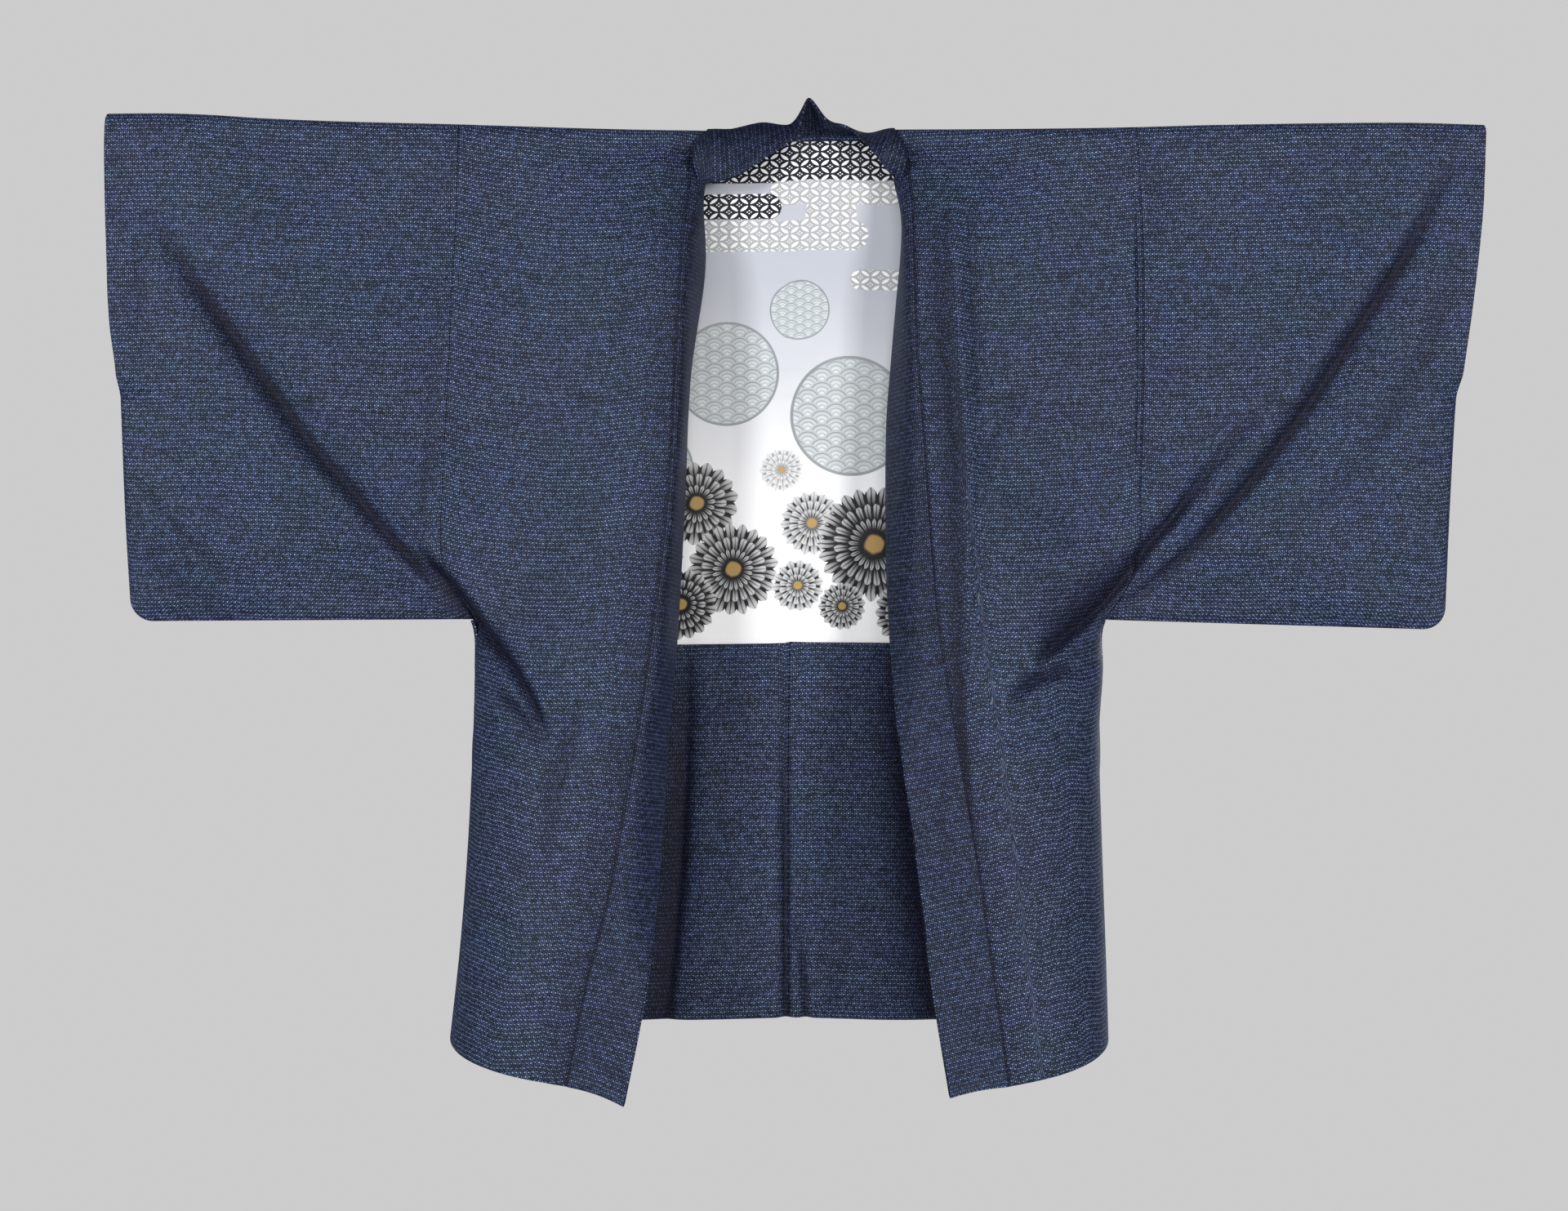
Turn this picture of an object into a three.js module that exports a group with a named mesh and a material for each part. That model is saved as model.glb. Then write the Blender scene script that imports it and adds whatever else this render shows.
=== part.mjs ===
// Haori: a hip-length men's jacket, open in front, hanging by its shoulder line.
// Millimetres, +Z up. The front faces -Y. The origin is the middle of the shoulder line.
// "Right" and "left" are the wearer's, so the right half lies on -X.
// Every cloth piece is a wall built on a middle surface; pieces meet with a seam gap between them.
// Two ways of measuring: "out" is the distance from the centre plane, "fore" is the distance
// in front of the shoulder plane.
import * as THREE from 'three';

const CLOTH = 1.6; // outer cloth with its lining behind it
const BAND_CLOTH = 2.4; // collar, folded double over an inner cloth
const LINING = 1.0;
const SEAM_GAP = 0.3;
const LINING_GAP = 1.1; // between the back and what lies on its inner face
const EDGE_CLEAR = 0.0015; // share of a panel kept clear at the edges of what lies on it
const SHOULDER_RADIUS = 11; // roundness of the fold over the shoulders
const BACK_HEM = -880; // centre back
const SIDE_HEM = -886;
const BAND_HEM = -915; // hem at the collar seam
const UNDERARM = -487;
const CUFF_OPEN = -258; // the cuff is sewn shut below this height
const CUFF_CORNER = 21; // radius of the sleeve's lower outer corner
const BAND_GAP = 0.75; // between the collar and the edge it is sewn to
const BAND_ROUND = 0.67; // how far the collar's section reaches towards the point of its turn
const BAND_DROP = 0.4; // share of the way down to its free edge that the collar makes by its turn
const NECK_TOP = -1.5; // height of the neckline at the back
// Distances from the neckline's end, going inwards along the back.
const NECK_TURN = { start: 2, end: 24 }; // here the shoulder fold turns into the neckline
const NECK_CLIMB = 40; // the collar climbs onto the shoulder over this width
const NECK_LAST = 3; // the last point of the neck's seam
const SLEEVE_INNER = 310; // the sleeve's lower inner corner, from the centre plane
const SLEEVE_FULLNESS = 5; // added to half the sleeve's hollow, halfway down
const SLEEVE_ROUND = 70; // the hollow closes towards the bottom seam over this height
const CUFF_CLOSING = { above: 18, below: 12 }; // and towards the sewn cuff over this height
const CUFF_ROUND = 0.16; // and over this share of the sleeve's width
const ARMHOLE_BLEND = 0.14; // share of the width over which the armhole's fall dies out
const SIDES = { right: -1, left: 1 };
const ROWS_BELOW_ARM = 9; // rows of points from the hem to the underarm
const ROWS_ABOVE_ARM = 9; // and from the armhole's end to the shoulder fold
const FOLD_ROWS = 2;
// Heights of the rows near the underarm. The back's lining ends at the lowest of them.
const UNDERARM_ROWS = [-506, -490, -481, -463, -445, -422];

// Height of the shoulder line, along X.
const SHOULDER_LINE = [
  { x: -680, z: 16 },
  { x: -540, z: 11 },
  { x: -340, z: 6.5 },
  { x: -95, z: 0 },
  { x: 110, z: 1 },
  { x: 340, z: 5 },
  { x: 600, z: 7.5 },
  { x: 690, z: 5.5 },
];

// The front's outer edge: the sleeve seam down to the underarm, then the gusset seam.
// turn: how far the cloth faces sideways there. round, flat: reach of the section's curve
// from its outer and inner end. square: how squarely it meets the collar.
const FRONT_SIDE = {
  right: [
    { z: 20, out: 324, fore: 11, turn: 0, round: 60, flat: 60, square: 0 },
    { z: -100, out: 327, fore: 13, turn: 0, round: 60, flat: 60, square: 0.1 },
    { z: -235, out: 333, fore: 15, turn: 0, round: 70, flat: 60, square: 0.2 },
    { z: -360, out: 339, fore: 16, turn: 0, round: 70, flat: 70, square: 0.3 },
    { z: -415, out: 340, fore: 15, turn: 4, round: 60, flat: 80, square: 0.4 },
    { z: -450, out: 330, fore: 9, turn: 25, round: 50, flat: 85, square: 0.5 },
    { z: -487, out: 306, fore: 3, turn: 62, round: 50, flat: 85, square: 0.5 },
    { z: -590, out: 307, fore: 2, turn: 84, round: 60, flat: 80, square: 0.6 },
    { z: -700, out: 313, fore: 1, turn: 90, round: 70, flat: 75, square: 0.7 },
    { z: -800, out: 320, fore: 0, turn: 90, round: 80, flat: 75, square: 0.8 },
    { z: -886, out: 326, fore: -2, turn: 90, round: 88, flat: 75, square: 0.8 },
  ],
  left: [
    { z: 20, out: 339, fore: 11, turn: 0, round: 60, flat: 60, square: 0 },
    { z: -100, out: 345, fore: 13, turn: 0, round: 60, flat: 60, square: 0.1 },
    { z: -235, out: 346, fore: 15, turn: 0, round: 70, flat: 60, square: 0.2 },
    { z: -350, out: 343, fore: 16, turn: 0, round: 70, flat: 70, square: 0.3 },
    { z: -415, out: 341, fore: 15, turn: 4, round: 60, flat: 80, square: 0.4 },
    { z: -450, out: 330, fore: 9, turn: 25, round: 50, flat: 80, square: 0.5 },
    { z: -487, out: 305, fore: 3, turn: 62, round: 50, flat: 80, square: 0.5 },
    { z: -590, out: 303, fore: 2, turn: 84, round: 60, flat: 75, square: 0.6 },
    { z: -700, out: 306, fore: 1, turn: 90, round: 72, flat: 65, square: 0.7 },
    { z: -800, out: 309, fore: 0, turn: 90, round: 84, flat: 60, square: 0.8 },
    { z: -886, out: 311, fore: -2, turn: 90, round: 92, flat: 60, square: 0.8 },
  ],
};

// The back's outer edge: the sleeve seam, then the gusset seam. aft is the distance behind
// the shoulder plane.
const BACK_SIDE = {
  right: [
    { z: 20, out: 324, aft: 11 },
    { z: -235, out: 333, aft: 13 },
    { z: -360, out: 339, aft: 13 },
    { z: -415, out: 340, aft: 12 },
    { z: -450, out: 330, aft: 8 },
    { z: -487, out: 303, aft: 4 },
    { z: -590, out: 300, aft: 20 },
    { z: -700, out: 299, aft: 29 },
    { z: -800, out: 298, aft: 36 },
    { z: -886, out: 298, aft: 42 },
  ],
  left: [
    { z: 20, out: 339, aft: 11 },
    { z: -100, out: 345, aft: 12 },
    { z: -235, out: 346, aft: 13 },
    { z: -350, out: 343, aft: 13 },
    { z: -415, out: 341, aft: 12 },
    { z: -450, out: 330, aft: 8 },
    { z: -487, out: 302, aft: 4 },
    { z: -590, out: 297, aft: 20 },
    { z: -700, out: 293, aft: 29 },
    { z: -800, out: 289, aft: 36 },
    { z: -886, out: 286, aft: 42 },
  ],
};
const BACK_CENTRE = [
  { z: 20, aft: 11 },
  { z: -100, aft: 14 },
  { z: -300, aft: 16 },
  { z: -500, aft: 22 },
  { z: -700, aft: 30 },
  { z: -886, aft: 36 },
];

// Collar on the fronts, by height of its seam: the seam to the front, and the free edge.
// bend: how far the band runs on along the front before it turns inwards.
const BAND = {
  right: [
    { z: 20, seam: 78, fore: 11, edgeZ: -30, edge: 70, edgeFore: 26, bend: 20 },
    { z: -1, seam: 80, fore: 11, edgeZ: -42, edge: 76, edgeFore: 25, bend: 22 },
    { z: -19, seam: 94, fore: 12, edgeZ: -50, edge: 87, edgeFore: 22, bend: 24 },
    { z: -57, seam: 98, fore: 30, edgeZ: -74, edge: 86, edgeFore: 13, bend: 18 },
    { z: -136, seam: 105, fore: 55, edgeZ: -138, edge: 84, edgeFore: 4, bend: 12 },
    { z: -240, seam: 110, fore: 66, edgeZ: -243, edge: 98, edgeFore: 12, bend: 12 },
    { z: -358, seam: 116, fore: 76, edgeZ: -362, edge: 103, edgeFore: 22, bend: 12 },
    { z: -513, seam: 133, fore: 90, edgeZ: -519, edge: 111, edgeFore: 40, bend: 14 },
    { z: -590, seam: 144, fore: 98, edgeZ: -598, edge: 118, edgeFore: 50, bend: 14 },
    { z: -667, seam: 157, fore: 105, edgeZ: -676, edge: 122, edgeFore: 63, bend: 18 },
    { z: -743, seam: 170, fore: 112, edgeZ: -753, edge: 127, edgeFore: 80, bend: 22 },
    { z: -818, seam: 189, fore: 120, edgeZ: -829, edge: 135, edgeFore: 110, bend: 26 },
    { z: -915, seam: 208, fore: 130, edgeZ: -929, edge: 155, edgeFore: 142, bend: 28 },
  ],
  left: [
    { z: 20, seam: 102, fore: 11, edgeZ: -30, edge: 88, edgeFore: 26, bend: 20 },
    { z: -1, seam: 103, fore: 11, edgeZ: -44, edge: 97, edgeFore: 25, bend: 22 },
    { z: -18, seam: 112, fore: 12, edgeZ: -60, edge: 109, edgeFore: 18, bend: 24 },
    { z: -82, seam: 119, fore: 40, edgeZ: -90, edge: 114, edgeFore: 9, bend: 16 },
    { z: -140, seam: 120, fore: 57, edgeZ: -146, edge: 108, edgeFore: 5, bend: 12 },
    { z: -216, seam: 122, fore: 66, edgeZ: -220, edge: 101, edgeFore: 13, bend: 12 },
    { z: -291, seam: 127, fore: 72, edgeZ: -296, edge: 95, edgeFore: 23, bend: 14 },
    { z: -427, seam: 136, fore: 84, edgeZ: -432, edge: 94, edgeFore: 48, bend: 20 },
    { z: -502, seam: 143, fore: 90, edgeZ: -508, edge: 97, edgeFore: 60, bend: 22 },
    { z: -561, seam: 152, fore: 96, edgeZ: -570, edge: 101, edgeFore: 75, bend: 24 },
    { z: -634, seam: 164, fore: 103, edgeZ: -645, edge: 111, edgeFore: 98, bend: 26 },
    { z: -707, seam: 176, fore: 109, edgeZ: -718, edge: 121, edgeFore: 109, bend: 28 },
    { z: -812, seam: 190, fore: 120, edgeZ: -824, edge: 133, edgeFore: 122, bend: 28 },
    { z: -915, seam: 204, fore: 130, edgeZ: -927, edge: 149, edgeFore: 140, bend: 28 },
  ],
};

// Collar behind the neck, by place of its seam on the neckline. The band rises from the seam,
// turns over at its top and falls forward to its free edge; behind the neck the free edge
// stands up in a pinched peak.
const NECK = [
  { x: -94, topX: -95, topY: -48, topZ: -30, edgeX: -87, edgeY: -22, edgeZ: -50 },
  { x: -78, topX: -78, topY: -34, topZ: 5, edgeX: -74, edgeY: -25, edgeZ: -43 },
  { x: -62, topX: -58, topY: -14, topZ: 14, edgeX: -50, edgeY: -24, edgeZ: -39 },
  { x: -30, topX: -27, topY: 2, topZ: 32, edgeX: -22, edgeY: -14, edgeZ: -17 },
  { x: -5, topX: 0, topY: 4, topZ: 24, edgeX: 7, edgeY: -18, edgeZ: 0 },
  { x: 8, topX: 11, topY: 4, topZ: 32, edgeX: 14, edgeY: -24, edgeZ: 31 },
  { x: 24, topX: 25, topY: 4, topZ: 32, edgeX: 25, edgeY: -24, edgeZ: 31 },
  { x: 46, topX: 43, topY: 0, topZ: 26, edgeX: 39, edgeY: -26, edgeZ: 14 },
  { x: 68, topX: 65, topY: -4, topZ: 12, edgeX: 59, edgeY: -28, edgeZ: 2 },
  { x: 86, topX: 83, topY: -12, topZ: 8, edgeX: 76, edgeY: -30, edgeZ: -14 },
  { x: 103, topX: 102, topY: -36, topZ: 4, edgeX: 91, edgeY: -30, edgeZ: -36 },
  { x: 112, topX: 116, topY: -48, topZ: -32, edgeX: 109, edgeY: -20, edgeZ: -58 },
];

// Sleeve outline: the cuff's edge by height, and the lowest line.
const CUFF = {
  right: [
    { z: 20, out: 671 },
    { z: -30, out: 670 },
    { z: -234, out: 660 },
    { z: -262, out: 656 },
    { z: -386, out: 650 },
    { z: -500, out: 643 },
  ],
  left: [
    { z: 20, out: 684 },
    { z: -72, out: 679 },
    { z: -177, out: 667 },
    { z: -250, out: 656 },
    { z: -354, out: 647 },
    { z: -500, out: 640 },
  ],
};
const SLEEVE_BOTTOM = { right: { inner: -481, outer: -483 }, left: { inner: -481, outer: -488 } };

// Drag folds, soft troughs drawn from the top of each cuff to the underarm and on across the
// fronts, in front view. bow: how far the line sags. The back has fainter ones.
const FOLDS = {
  frontSleeves: [
    { x0: -635, z0: -80, x1: -352, z1: -446, bow: -10, depth: 11, width: 17 },
    { x0: -655, z0: -340, x1: -525, z1: -470, bow: -4, depth: 5, width: 16 },
    { x0: 664, z0: -30, x1: 340, z1: -462, bow: 12, depth: 12, width: 18 },
    { x0: 470, z0: -258, x1: 330, z1: -440, bow: 5, depth: 7, width: 13 },
  ],
  backSleeves: [
    { x0: -620, z0: -100, x1: -360, z1: -430, bow: -8, depth: 8, width: 20 },
    { x0: 640, z0: -70, x1: 360, z1: -435, bow: 9, depth: 8, width: 20 },
  ],
  fronts: [
    { x0: -338, z0: -438, x1: -236, z1: -572, bow: 3, depth: 11, width: 16 },
    { x0: 336, z0: -430, x1: 246, z1: -522, bow: -4, depth: 10, width: 16 },
    { x0: 160, z0: -60, x1: 166, z1: -330, bow: 0, depth: 7, width: 11 },
    { x0: 152, z0: -480, x1: 176, z1: -690, bow: 0, depth: 8, width: 12 },
    { x0: -196, z0: -560, x1: -232, z1: -700, bow: 0, depth: 7, width: 20 },
  ],
  backs: [
    { x0: -310, z0: -450, x1: -190, z1: -640, bow: 4, depth: 8, width: 20 },
    { x0: 310, z0: -450, x1: 185, z1: -650, bow: -4, depth: 8, width: 20 },
    { x0: -2, z0: -560, x1: -4, z1: -884, bow: 0, depth: -4, width: 14 },
  ],
};

const clamp01 = (value) => Math.min(1, Math.max(0, value));
const mix = (a, b, t) => a + (b - a) * t;
const smooth = (lo, hi, value) => {
  const t = clamp01((value - lo) / (hi - lo));
  return t * t * (3 - 2 * t);
};

// One column of a table at any place between its rows, on a smooth curve through them.
function along(rows, key, place, column) {
  const last = rows.length - 1;
  const sign = Math.sign(rows[last][key] - rows[0][key]);
  let i = 0;
  while (i < last - 1 && sign * place > sign * rows[i + 1][key]) i += 1;
  const slope = (j) => {
    const before = rows[Math.max(j - 1, 0)];
    const after = rows[Math.min(j + 1, last)];
    return (after[column] - before[column]) / (after[key] - before[key]);
  };
  const span = rows[i + 1][key] - rows[i][key];
  const t = clamp01((place - rows[i][key]) / span);
  const rest = 1 - t;
  return rows[i][column] * (1 + 2 * t) * rest * rest
    + rows[i + 1][column] * t * t * (3 - 2 * t)
    + span * slope(i) * t * rest * rest
    - span * slope(i + 1) * t * t * rest;
}

function bezier(p0, p1, p2, p3, t) {
  const rest = 1 - t;
  return p0 * rest ** 3 + 3 * p1 * rest * rest * t + 3 * p2 * rest * t * t + p3 * t ** 3;
}

// How deep the folds of a list press into the cloth at one place of the front view.
function foldDepth(folds, x, z) {
  let depth = 0;
  for (const fold of folds) {
    const runX = fold.x1 - fold.x0;
    const runZ = fold.z1 - fold.z0;
    const length = Math.hypot(runX, runZ);
    const t = ((x - fold.x0) * runX + (z - fold.z0) * runZ) / length ** 2;
    const aside = ((x - fold.x0) * runZ - (z - fold.z0) * runX) / length;
    const inside = clamp01(t);
    const beyond = (t - inside) * length;
    const off = Math.hypot(aside - fold.bow * 4 * inside * (1 - inside), beyond);
    const fade = smooth(0, 0.2, inside) * smooth(1, 0.85, inside);
    depth += fold.depth * fade * Math.exp(-((off / fold.width) ** 2));
  }
  return depth;
}

const shoulderZ = (x) => along(SHOULDER_LINE, 'x', x, 'z') - CLOTH / 2;

// Height v of a panel, from 0 at its hem to 1 on the shoulder fold. hang is 1 on the straight
// part and falls to 0 as the cloth turns over the fold; over is the way gone round it.
function heightOnPanel(v, hemZ, topZ) {
  const straight = topZ - SHOULDER_RADIUS - hemZ;
  const quarter = (Math.PI / 2) * SHOULDER_RADIUS;
  const way = v * (straight + quarter);
  if (way <= straight) return { z: hemZ + way, hang: 1, over: 0 };
  const angle = (way - straight) / SHOULDER_RADIUS;
  const z = topZ - SHOULDER_RADIUS + SHOULDER_RADIUS * Math.sin(angle);
  return { z, hang: Math.cos(angle), over: (way - straight) / quarter };
}

// The height v of a place on a panel, from its height along Z.
function placeOnPanel(z, hemZ, topZ) {
  const quarter = (Math.PI / 2) * SHOULDER_RADIUS;
  return (z - hemZ) / (topZ - SHOULDER_RADIUS - hemZ + quarter);
}

// Heights that neighbouring pieces share along their seams, so that their edges match.
function seamHeights(topZ) {
  const heights = [];
  const [underarm] = UNDERARM_ROWS;
  const armholeEnd = UNDERARM_ROWS.at(-1);
  const foldZ = topZ - SHOULDER_RADIUS;
  for (let i = 0; i < ROWS_BELOW_ARM; i += 1) {
    heights.push(mix(SIDE_HEM, underarm, i / ROWS_BELOW_ARM));
  }
  heights.push(...UNDERARM_ROWS);
  for (let i = 1; i <= ROWS_ABOVE_ARM; i += 1) {
    heights.push(mix(armholeEnd, foldZ, i / ROWS_ABOVE_ARM));
  }
  return heights;
}

// The same heights as stops on a panel, with the rows round the fold added.
function panelStops(hemZ, topZ) {
  const stops = seamHeights(topZ)
    .filter((z) => z >= hemZ)
    .map((z) => placeOnPanel(z, hemZ, topZ));
  const bend = 1 - stops.at(-1);
  for (let i = 1; i <= FOLD_ROWS; i += 1) stops.push(1 - bend + (bend * i) / FOLD_ROWS);
  return stops;
}

function evenStops(steps) {
  return Array.from({ length: steps + 1 }, (_, i) => i / steps);
}

// One section of a front: a curve from its outer edge (u = 0) to the collar seam (u = 1).
function frontSection(side, u, v) {
  const sideRows = FRONT_SIDE[side];
  const bandRows = BAND[side];
  const sideTop = shoulderZ(SIDES[side] * sideRows[0].out);
  const bandTop = shoulderZ(SIDES[side] * bandRows[0].seam);
  const outer = heightOnPanel(v, SIDE_HEM, sideTop);
  const inner = heightOnPanel(v, BAND_HEM, bandTop);
  const column = (name) => along(sideRows, 'z', outer.z, name);
  const turn = THREE.MathUtils.degToRad(column('turn'));
  const start = {
    out: column('out') - (SEAM_GAP / 2) * Math.cos(turn),
    fore: column('fore') + (SEAM_GAP / 2) * Math.sin(turn),
  };
  const end = {
    out: along(bandRows, 'z', inner.z, 'seam') + SEAM_GAP / 2,
    fore: along(bandRows, 'z', inner.z, 'fore'),
  };
  const round = column('round');
  const reach1 = {
    out: start.out - round * Math.cos(turn),
    fore: start.fore + round * Math.sin(turn),
  };
  const away = Math.hypot(reach1.out - end.out, reach1.fore - end.fore);
  const square = column('square');
  const flat = column('flat');
  const reach2 = {
    out: end.out + flat * mix((reach1.out - end.out) / away, 1, square),
    fore: end.fore + flat * mix((reach1.fore - end.fore) / away, 0, square),
  };
  const at = (name) => bezier(start[name], reach1[name], reach2[name], end[name], u);
  const hang = mix(outer.hang, inner.hang, u);
  return { out: at('out'), y: -at('fore') * hang, z: mix(outer.z, inner.z, u), hang };
}

function frontPoint(side, u, v) {
  const here = frontSection(side, u, v);
  const next = frontSection(side, Math.min(u + 0.01, 1), v);
  const last = frontSection(side, Math.max(u - 0.01, 0), v);
  const x = SIDES[side] * here.out;
  const fade = smooth(0, 0.12, u) * smooth(1, 0.9, u);
  const press = here.hang * foldDepth(FOLDS.fronts, x, here.z) * fade;
  const acrossX = SIDES[side] * (last.out - next.out);
  const acrossY = last.y - next.y;
  const length = Math.hypot(acrossX, acrossY) || 1;
  const inX = (-acrossY * SIDES[side]) / length;
  const inY = (acrossX * SIDES[side]) / length;
  const y = Math.min(here.y, -SEAM_GAP / 2);
  return new THREE.Vector3(x + press * inX, y + press * inY, here.z);
}

// A back panel, from the centre seam (u = 0) to its outer edge (u = 1). Over the neck it
// stands straight up to the neckline; over the shoulder it turns forward to the fold.
function backPoint(side, u, v) {
  const rows = BACK_SIDE[side];
  const x0 = SIDES[side] * u * rows[0].out;
  const height = heightOnPanel(v, mix(BACK_HEM, SIDE_HEM, u), shoulderZ(x0));
  const sideOut = along(rows, 'z', height.z, 'out') - SEAM_GAP / 2;
  const out = mix(SEAM_GAP / 2, sideOut, u);
  const aft = mix(
    along(BACK_CENTRE, 'z', height.z, 'aft'),
    along(rows, 'z', height.z, 'aft'),
    u * u,
  );
  const neckOut = BAND[side][1].seam;
  const shoulder = smooth(neckOut - NECK_TURN.end, neckOut - NECK_TURN.start, out);
  const standing = shoulderZ(x0) - SHOULDER_RADIUS + (SHOULDER_RADIUS + NECK_TOP) * height.over;
  const z = height.over > 0 ? mix(standing, height.z, shoulder) : height.z;
  const hang = mix(1, height.hang, shoulder);
  const x = SIDES[side] * out;
  const press = height.hang * foldDepth(FOLDS.backs, x, z) * smooth(1, 0.9, u) * smooth(0, 0.1, u);
  return new THREE.Vector3(x, Math.max(aft * hang - press, SEAM_GAP / 2), z);
}

// The gusset closes the side from the underarm to the hem, from the back (u = 0) to the
// front (u = 1), and widens downwards.
function gussetPoint(side, u, v) {
  const z = mix(SIDE_HEM, UNDERARM - 3, v);
  const turn = THREE.MathUtils.degToRad(along(FRONT_SIDE[side], 'z', z, 'turn'));
  const back = {
    out: along(BACK_SIDE[side], 'z', z, 'out') + SEAM_GAP / 2,
    y: along(BACK_SIDE[side], 'z', z, 'aft'),
  };
  const front = {
    out: along(FRONT_SIDE[side], 'z', z, 'out') + (SEAM_GAP / 2) * Math.cos(turn),
    y: -along(FRONT_SIDE[side], 'z', z, 'fore') + (SEAM_GAP / 2) * Math.sin(turn),
  };
  const reach = 0.5 * Math.hypot(front.out - back.out, front.y - back.y);
  const out = bezier(
    back.out,
    back.out + reach,
    front.out + reach * Math.cos(turn),
    front.out,
    u,
  );
  const y = bezier(back.y, back.y, front.y + reach * Math.sin(turn), front.y, u);
  return new THREE.Vector3(SIDES[side] * out, y, z);
}

// Half the hollow between a sleeve's two layers: the shoulder's radius at the top, fullest
// halfway, shut along the bottom and along the sewn part of the cuff.
function sleeveHollow(u, z, bottomZ, topZ) {
  const shut = (CLOTH + SEAM_GAP) / 2;
  const rise = clamp01((z - bottomZ) / (topZ - bottomZ));
  const full = SHOULDER_RADIUS - shut + SLEEVE_FULLNESS * Math.sin(Math.PI * rise);
  const fromBottom = Math.sqrt(clamp01((z - bottomZ) / SLEEVE_ROUND));
  const sewn = smooth(CUFF_OPEN + CUFF_CLOSING.above, CUFF_OPEN - CUFF_CLOSING.below, z);
  const fromCuff = Math.sqrt(clamp01((1 - u) / CUFF_ROUND));
  return shut + full * fromBottom * mix(1, fromCuff, sewn);
}

// One layer of a sleeve: u runs from the armhole seam to the cuff, v from the bottom seam up
// to the shoulder fold. layer is -1 for the front and 1 for the back.
function sleevePoint(side, layer, u, v) {
  const sign = SIDES[side];
  const sideRows = FRONT_SIDE[side];
  const topOut = mix(sideRows[0].out, CUFF[side][0].out, u);
  const topZ = shoulderZ(sign * topOut);
  const lowest = SLEEVE_BOTTOM[side];
  const lowestOut = mix(SLEEVE_INNER, along(CUFF[side], 'z', lowest.outer, 'out'), u);
  const cornerIn = CUFF_CORNER - (along(CUFF[side], 'z', lowest.outer, 'out') - lowestOut);
  const corner = cornerIn > 0
    ? CUFF_CORNER - Math.sqrt(Math.max(CUFF_CORNER ** 2 - cornerIn ** 2, 0))
    : 0;
  const bottomZ = mix(lowest.inner, lowest.outer, u) + corner;
  const height = heightOnPanel(v, bottomZ, topZ);
  const seamRows = layer < 0 ? sideRows : BACK_SIDE[side];
  const turn = THREE.MathUtils.degToRad(along(sideRows, 'z', height.z, 'turn'));
  const clear = SEAM_GAP / 2 + CLOTH * Math.sin(turn);
  const inner = along(seamRows, 'z', height.z, 'out') + clear;
  const out = mix(inner, along(CUFF[side], 'z', height.z, 'out'), u);
  const seamY = layer < 0
    ? along(sideRows, 'z', height.z, 'fore')
    : along(BACK_SIDE[side], 'z', height.z, 'aft');
  const hollow = sleeveHollow(u, height.z, bottomZ, topZ);
  const half = mix(seamY, hollow, smooth(0, ARMHOLE_BLEND, u));
  const shut = (CLOTH + SEAM_GAP) / 2;
  const folds = layer < 0 ? FOLDS.frontSleeves : FOLDS.backSleeves;
  const fade = smooth(0, 0.05, u) * smooth(1, 0.97, u);
  const press = foldDepth(folds, sign * out, height.z) * fade;
  const room = Math.max(Math.min(half, seamY * 3) - press, shut);
  const y = layer * (height.hang < 1 ? half * height.hang : room);
  return new THREE.Vector3(sign * out, layer * Math.max(Math.abs(y), SEAM_GAP / 2), height.z);
}

// The collar's section on a front: its seam, where it turns, and its free edge.
function bandSection(side, v) {
  const seam = frontSection(side, 1, v);
  const inside = frontSection(side, 0.97, v);
  const runOut = seam.out - inside.out;
  const runY = seam.y - inside.y;
  const run = Math.hypot(runOut, runY);
  const column = (name) => along(BAND[side], 'z', seam.z, name);
  const bend = column('bend') / run;
  const sign = SIDES[side];
  const edgeZ = column('edgeZ');
  const start = new THREE.Vector3(sign * (seam.out - BAND_GAP), seam.y, seam.z);
  const turn = new THREE.Vector3(
    start.x + sign * runOut * bend,
    start.y + runY * bend,
    mix(start.z, edgeZ, BAND_DROP),
  );
  return { start, turn, end: new THREE.Vector3(sign * column('edge'), -column('edgeFore'), edgeZ) };
}

// A point across the collar, from its seam (u = 0) over its turn to its free edge (u = 1).
function acrossBand({ start, turn, end }, u) {
  const point = new THREE.Vector3();
  for (const axis of ['x', 'y', 'z']) {
    const near = mix(start[axis], turn[axis], BAND_ROUND);
    const far = mix(end[axis], turn[axis], BAND_ROUND);
    point[axis] = bezier(start[axis], near, far, end[axis], u);
  }
  return point;
}

const bandPoint = (side, u, v) => acrossBand(bandSection(side, v), u);

// The seam of the collar's neck piece: up one front's edge, along the back's neckline and
// down the other front's edge, station by station on the points of those panels.
function neckStations() {
  const onPanel = (CLOTH + BAND_CLOTH) / 2 + SEAM_GAP;
  const stations = [];
  for (const side of ['right', 'left']) {
    const fronts = FRONT_STOPS[side].slice(-FOLD_ROWS - 2);
    const onFront = fronts.map((v, i) => {
      const { start } = bandSection(side, v);
      const { hang } = frontSection(side, 1, v);
      const off = i === 0 ? 0 : onPanel;
      return start.add(new THREE.Vector3(0, -off * hang, off * Math.sqrt(1 - hang * hang)));
    });
    onFront[0].z += 2 * SEAM_GAP;
    const neckOut = BAND[side][1].seam;
    const onBack = BACK_STOPS[side]
      .filter((u) => u * BACK_SIDE[side][0].out < neckOut - NECK_LAST)
      .map((u) => {
        const point = backPoint(side, u, 1);
        const off = mix(BAND_GAP, onPanel, smooth(neckOut - NECK_CLIMB, neckOut, Math.abs(point.x)));
        return point.add(new THREE.Vector3(0, 0, off));
      });
    const half = [...onFront, ...onBack.reverse()];
    stations.push(...(SIDES[side] < 0 ? half : half.reverse().slice(1)));
  }
  return stations;
}

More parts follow.
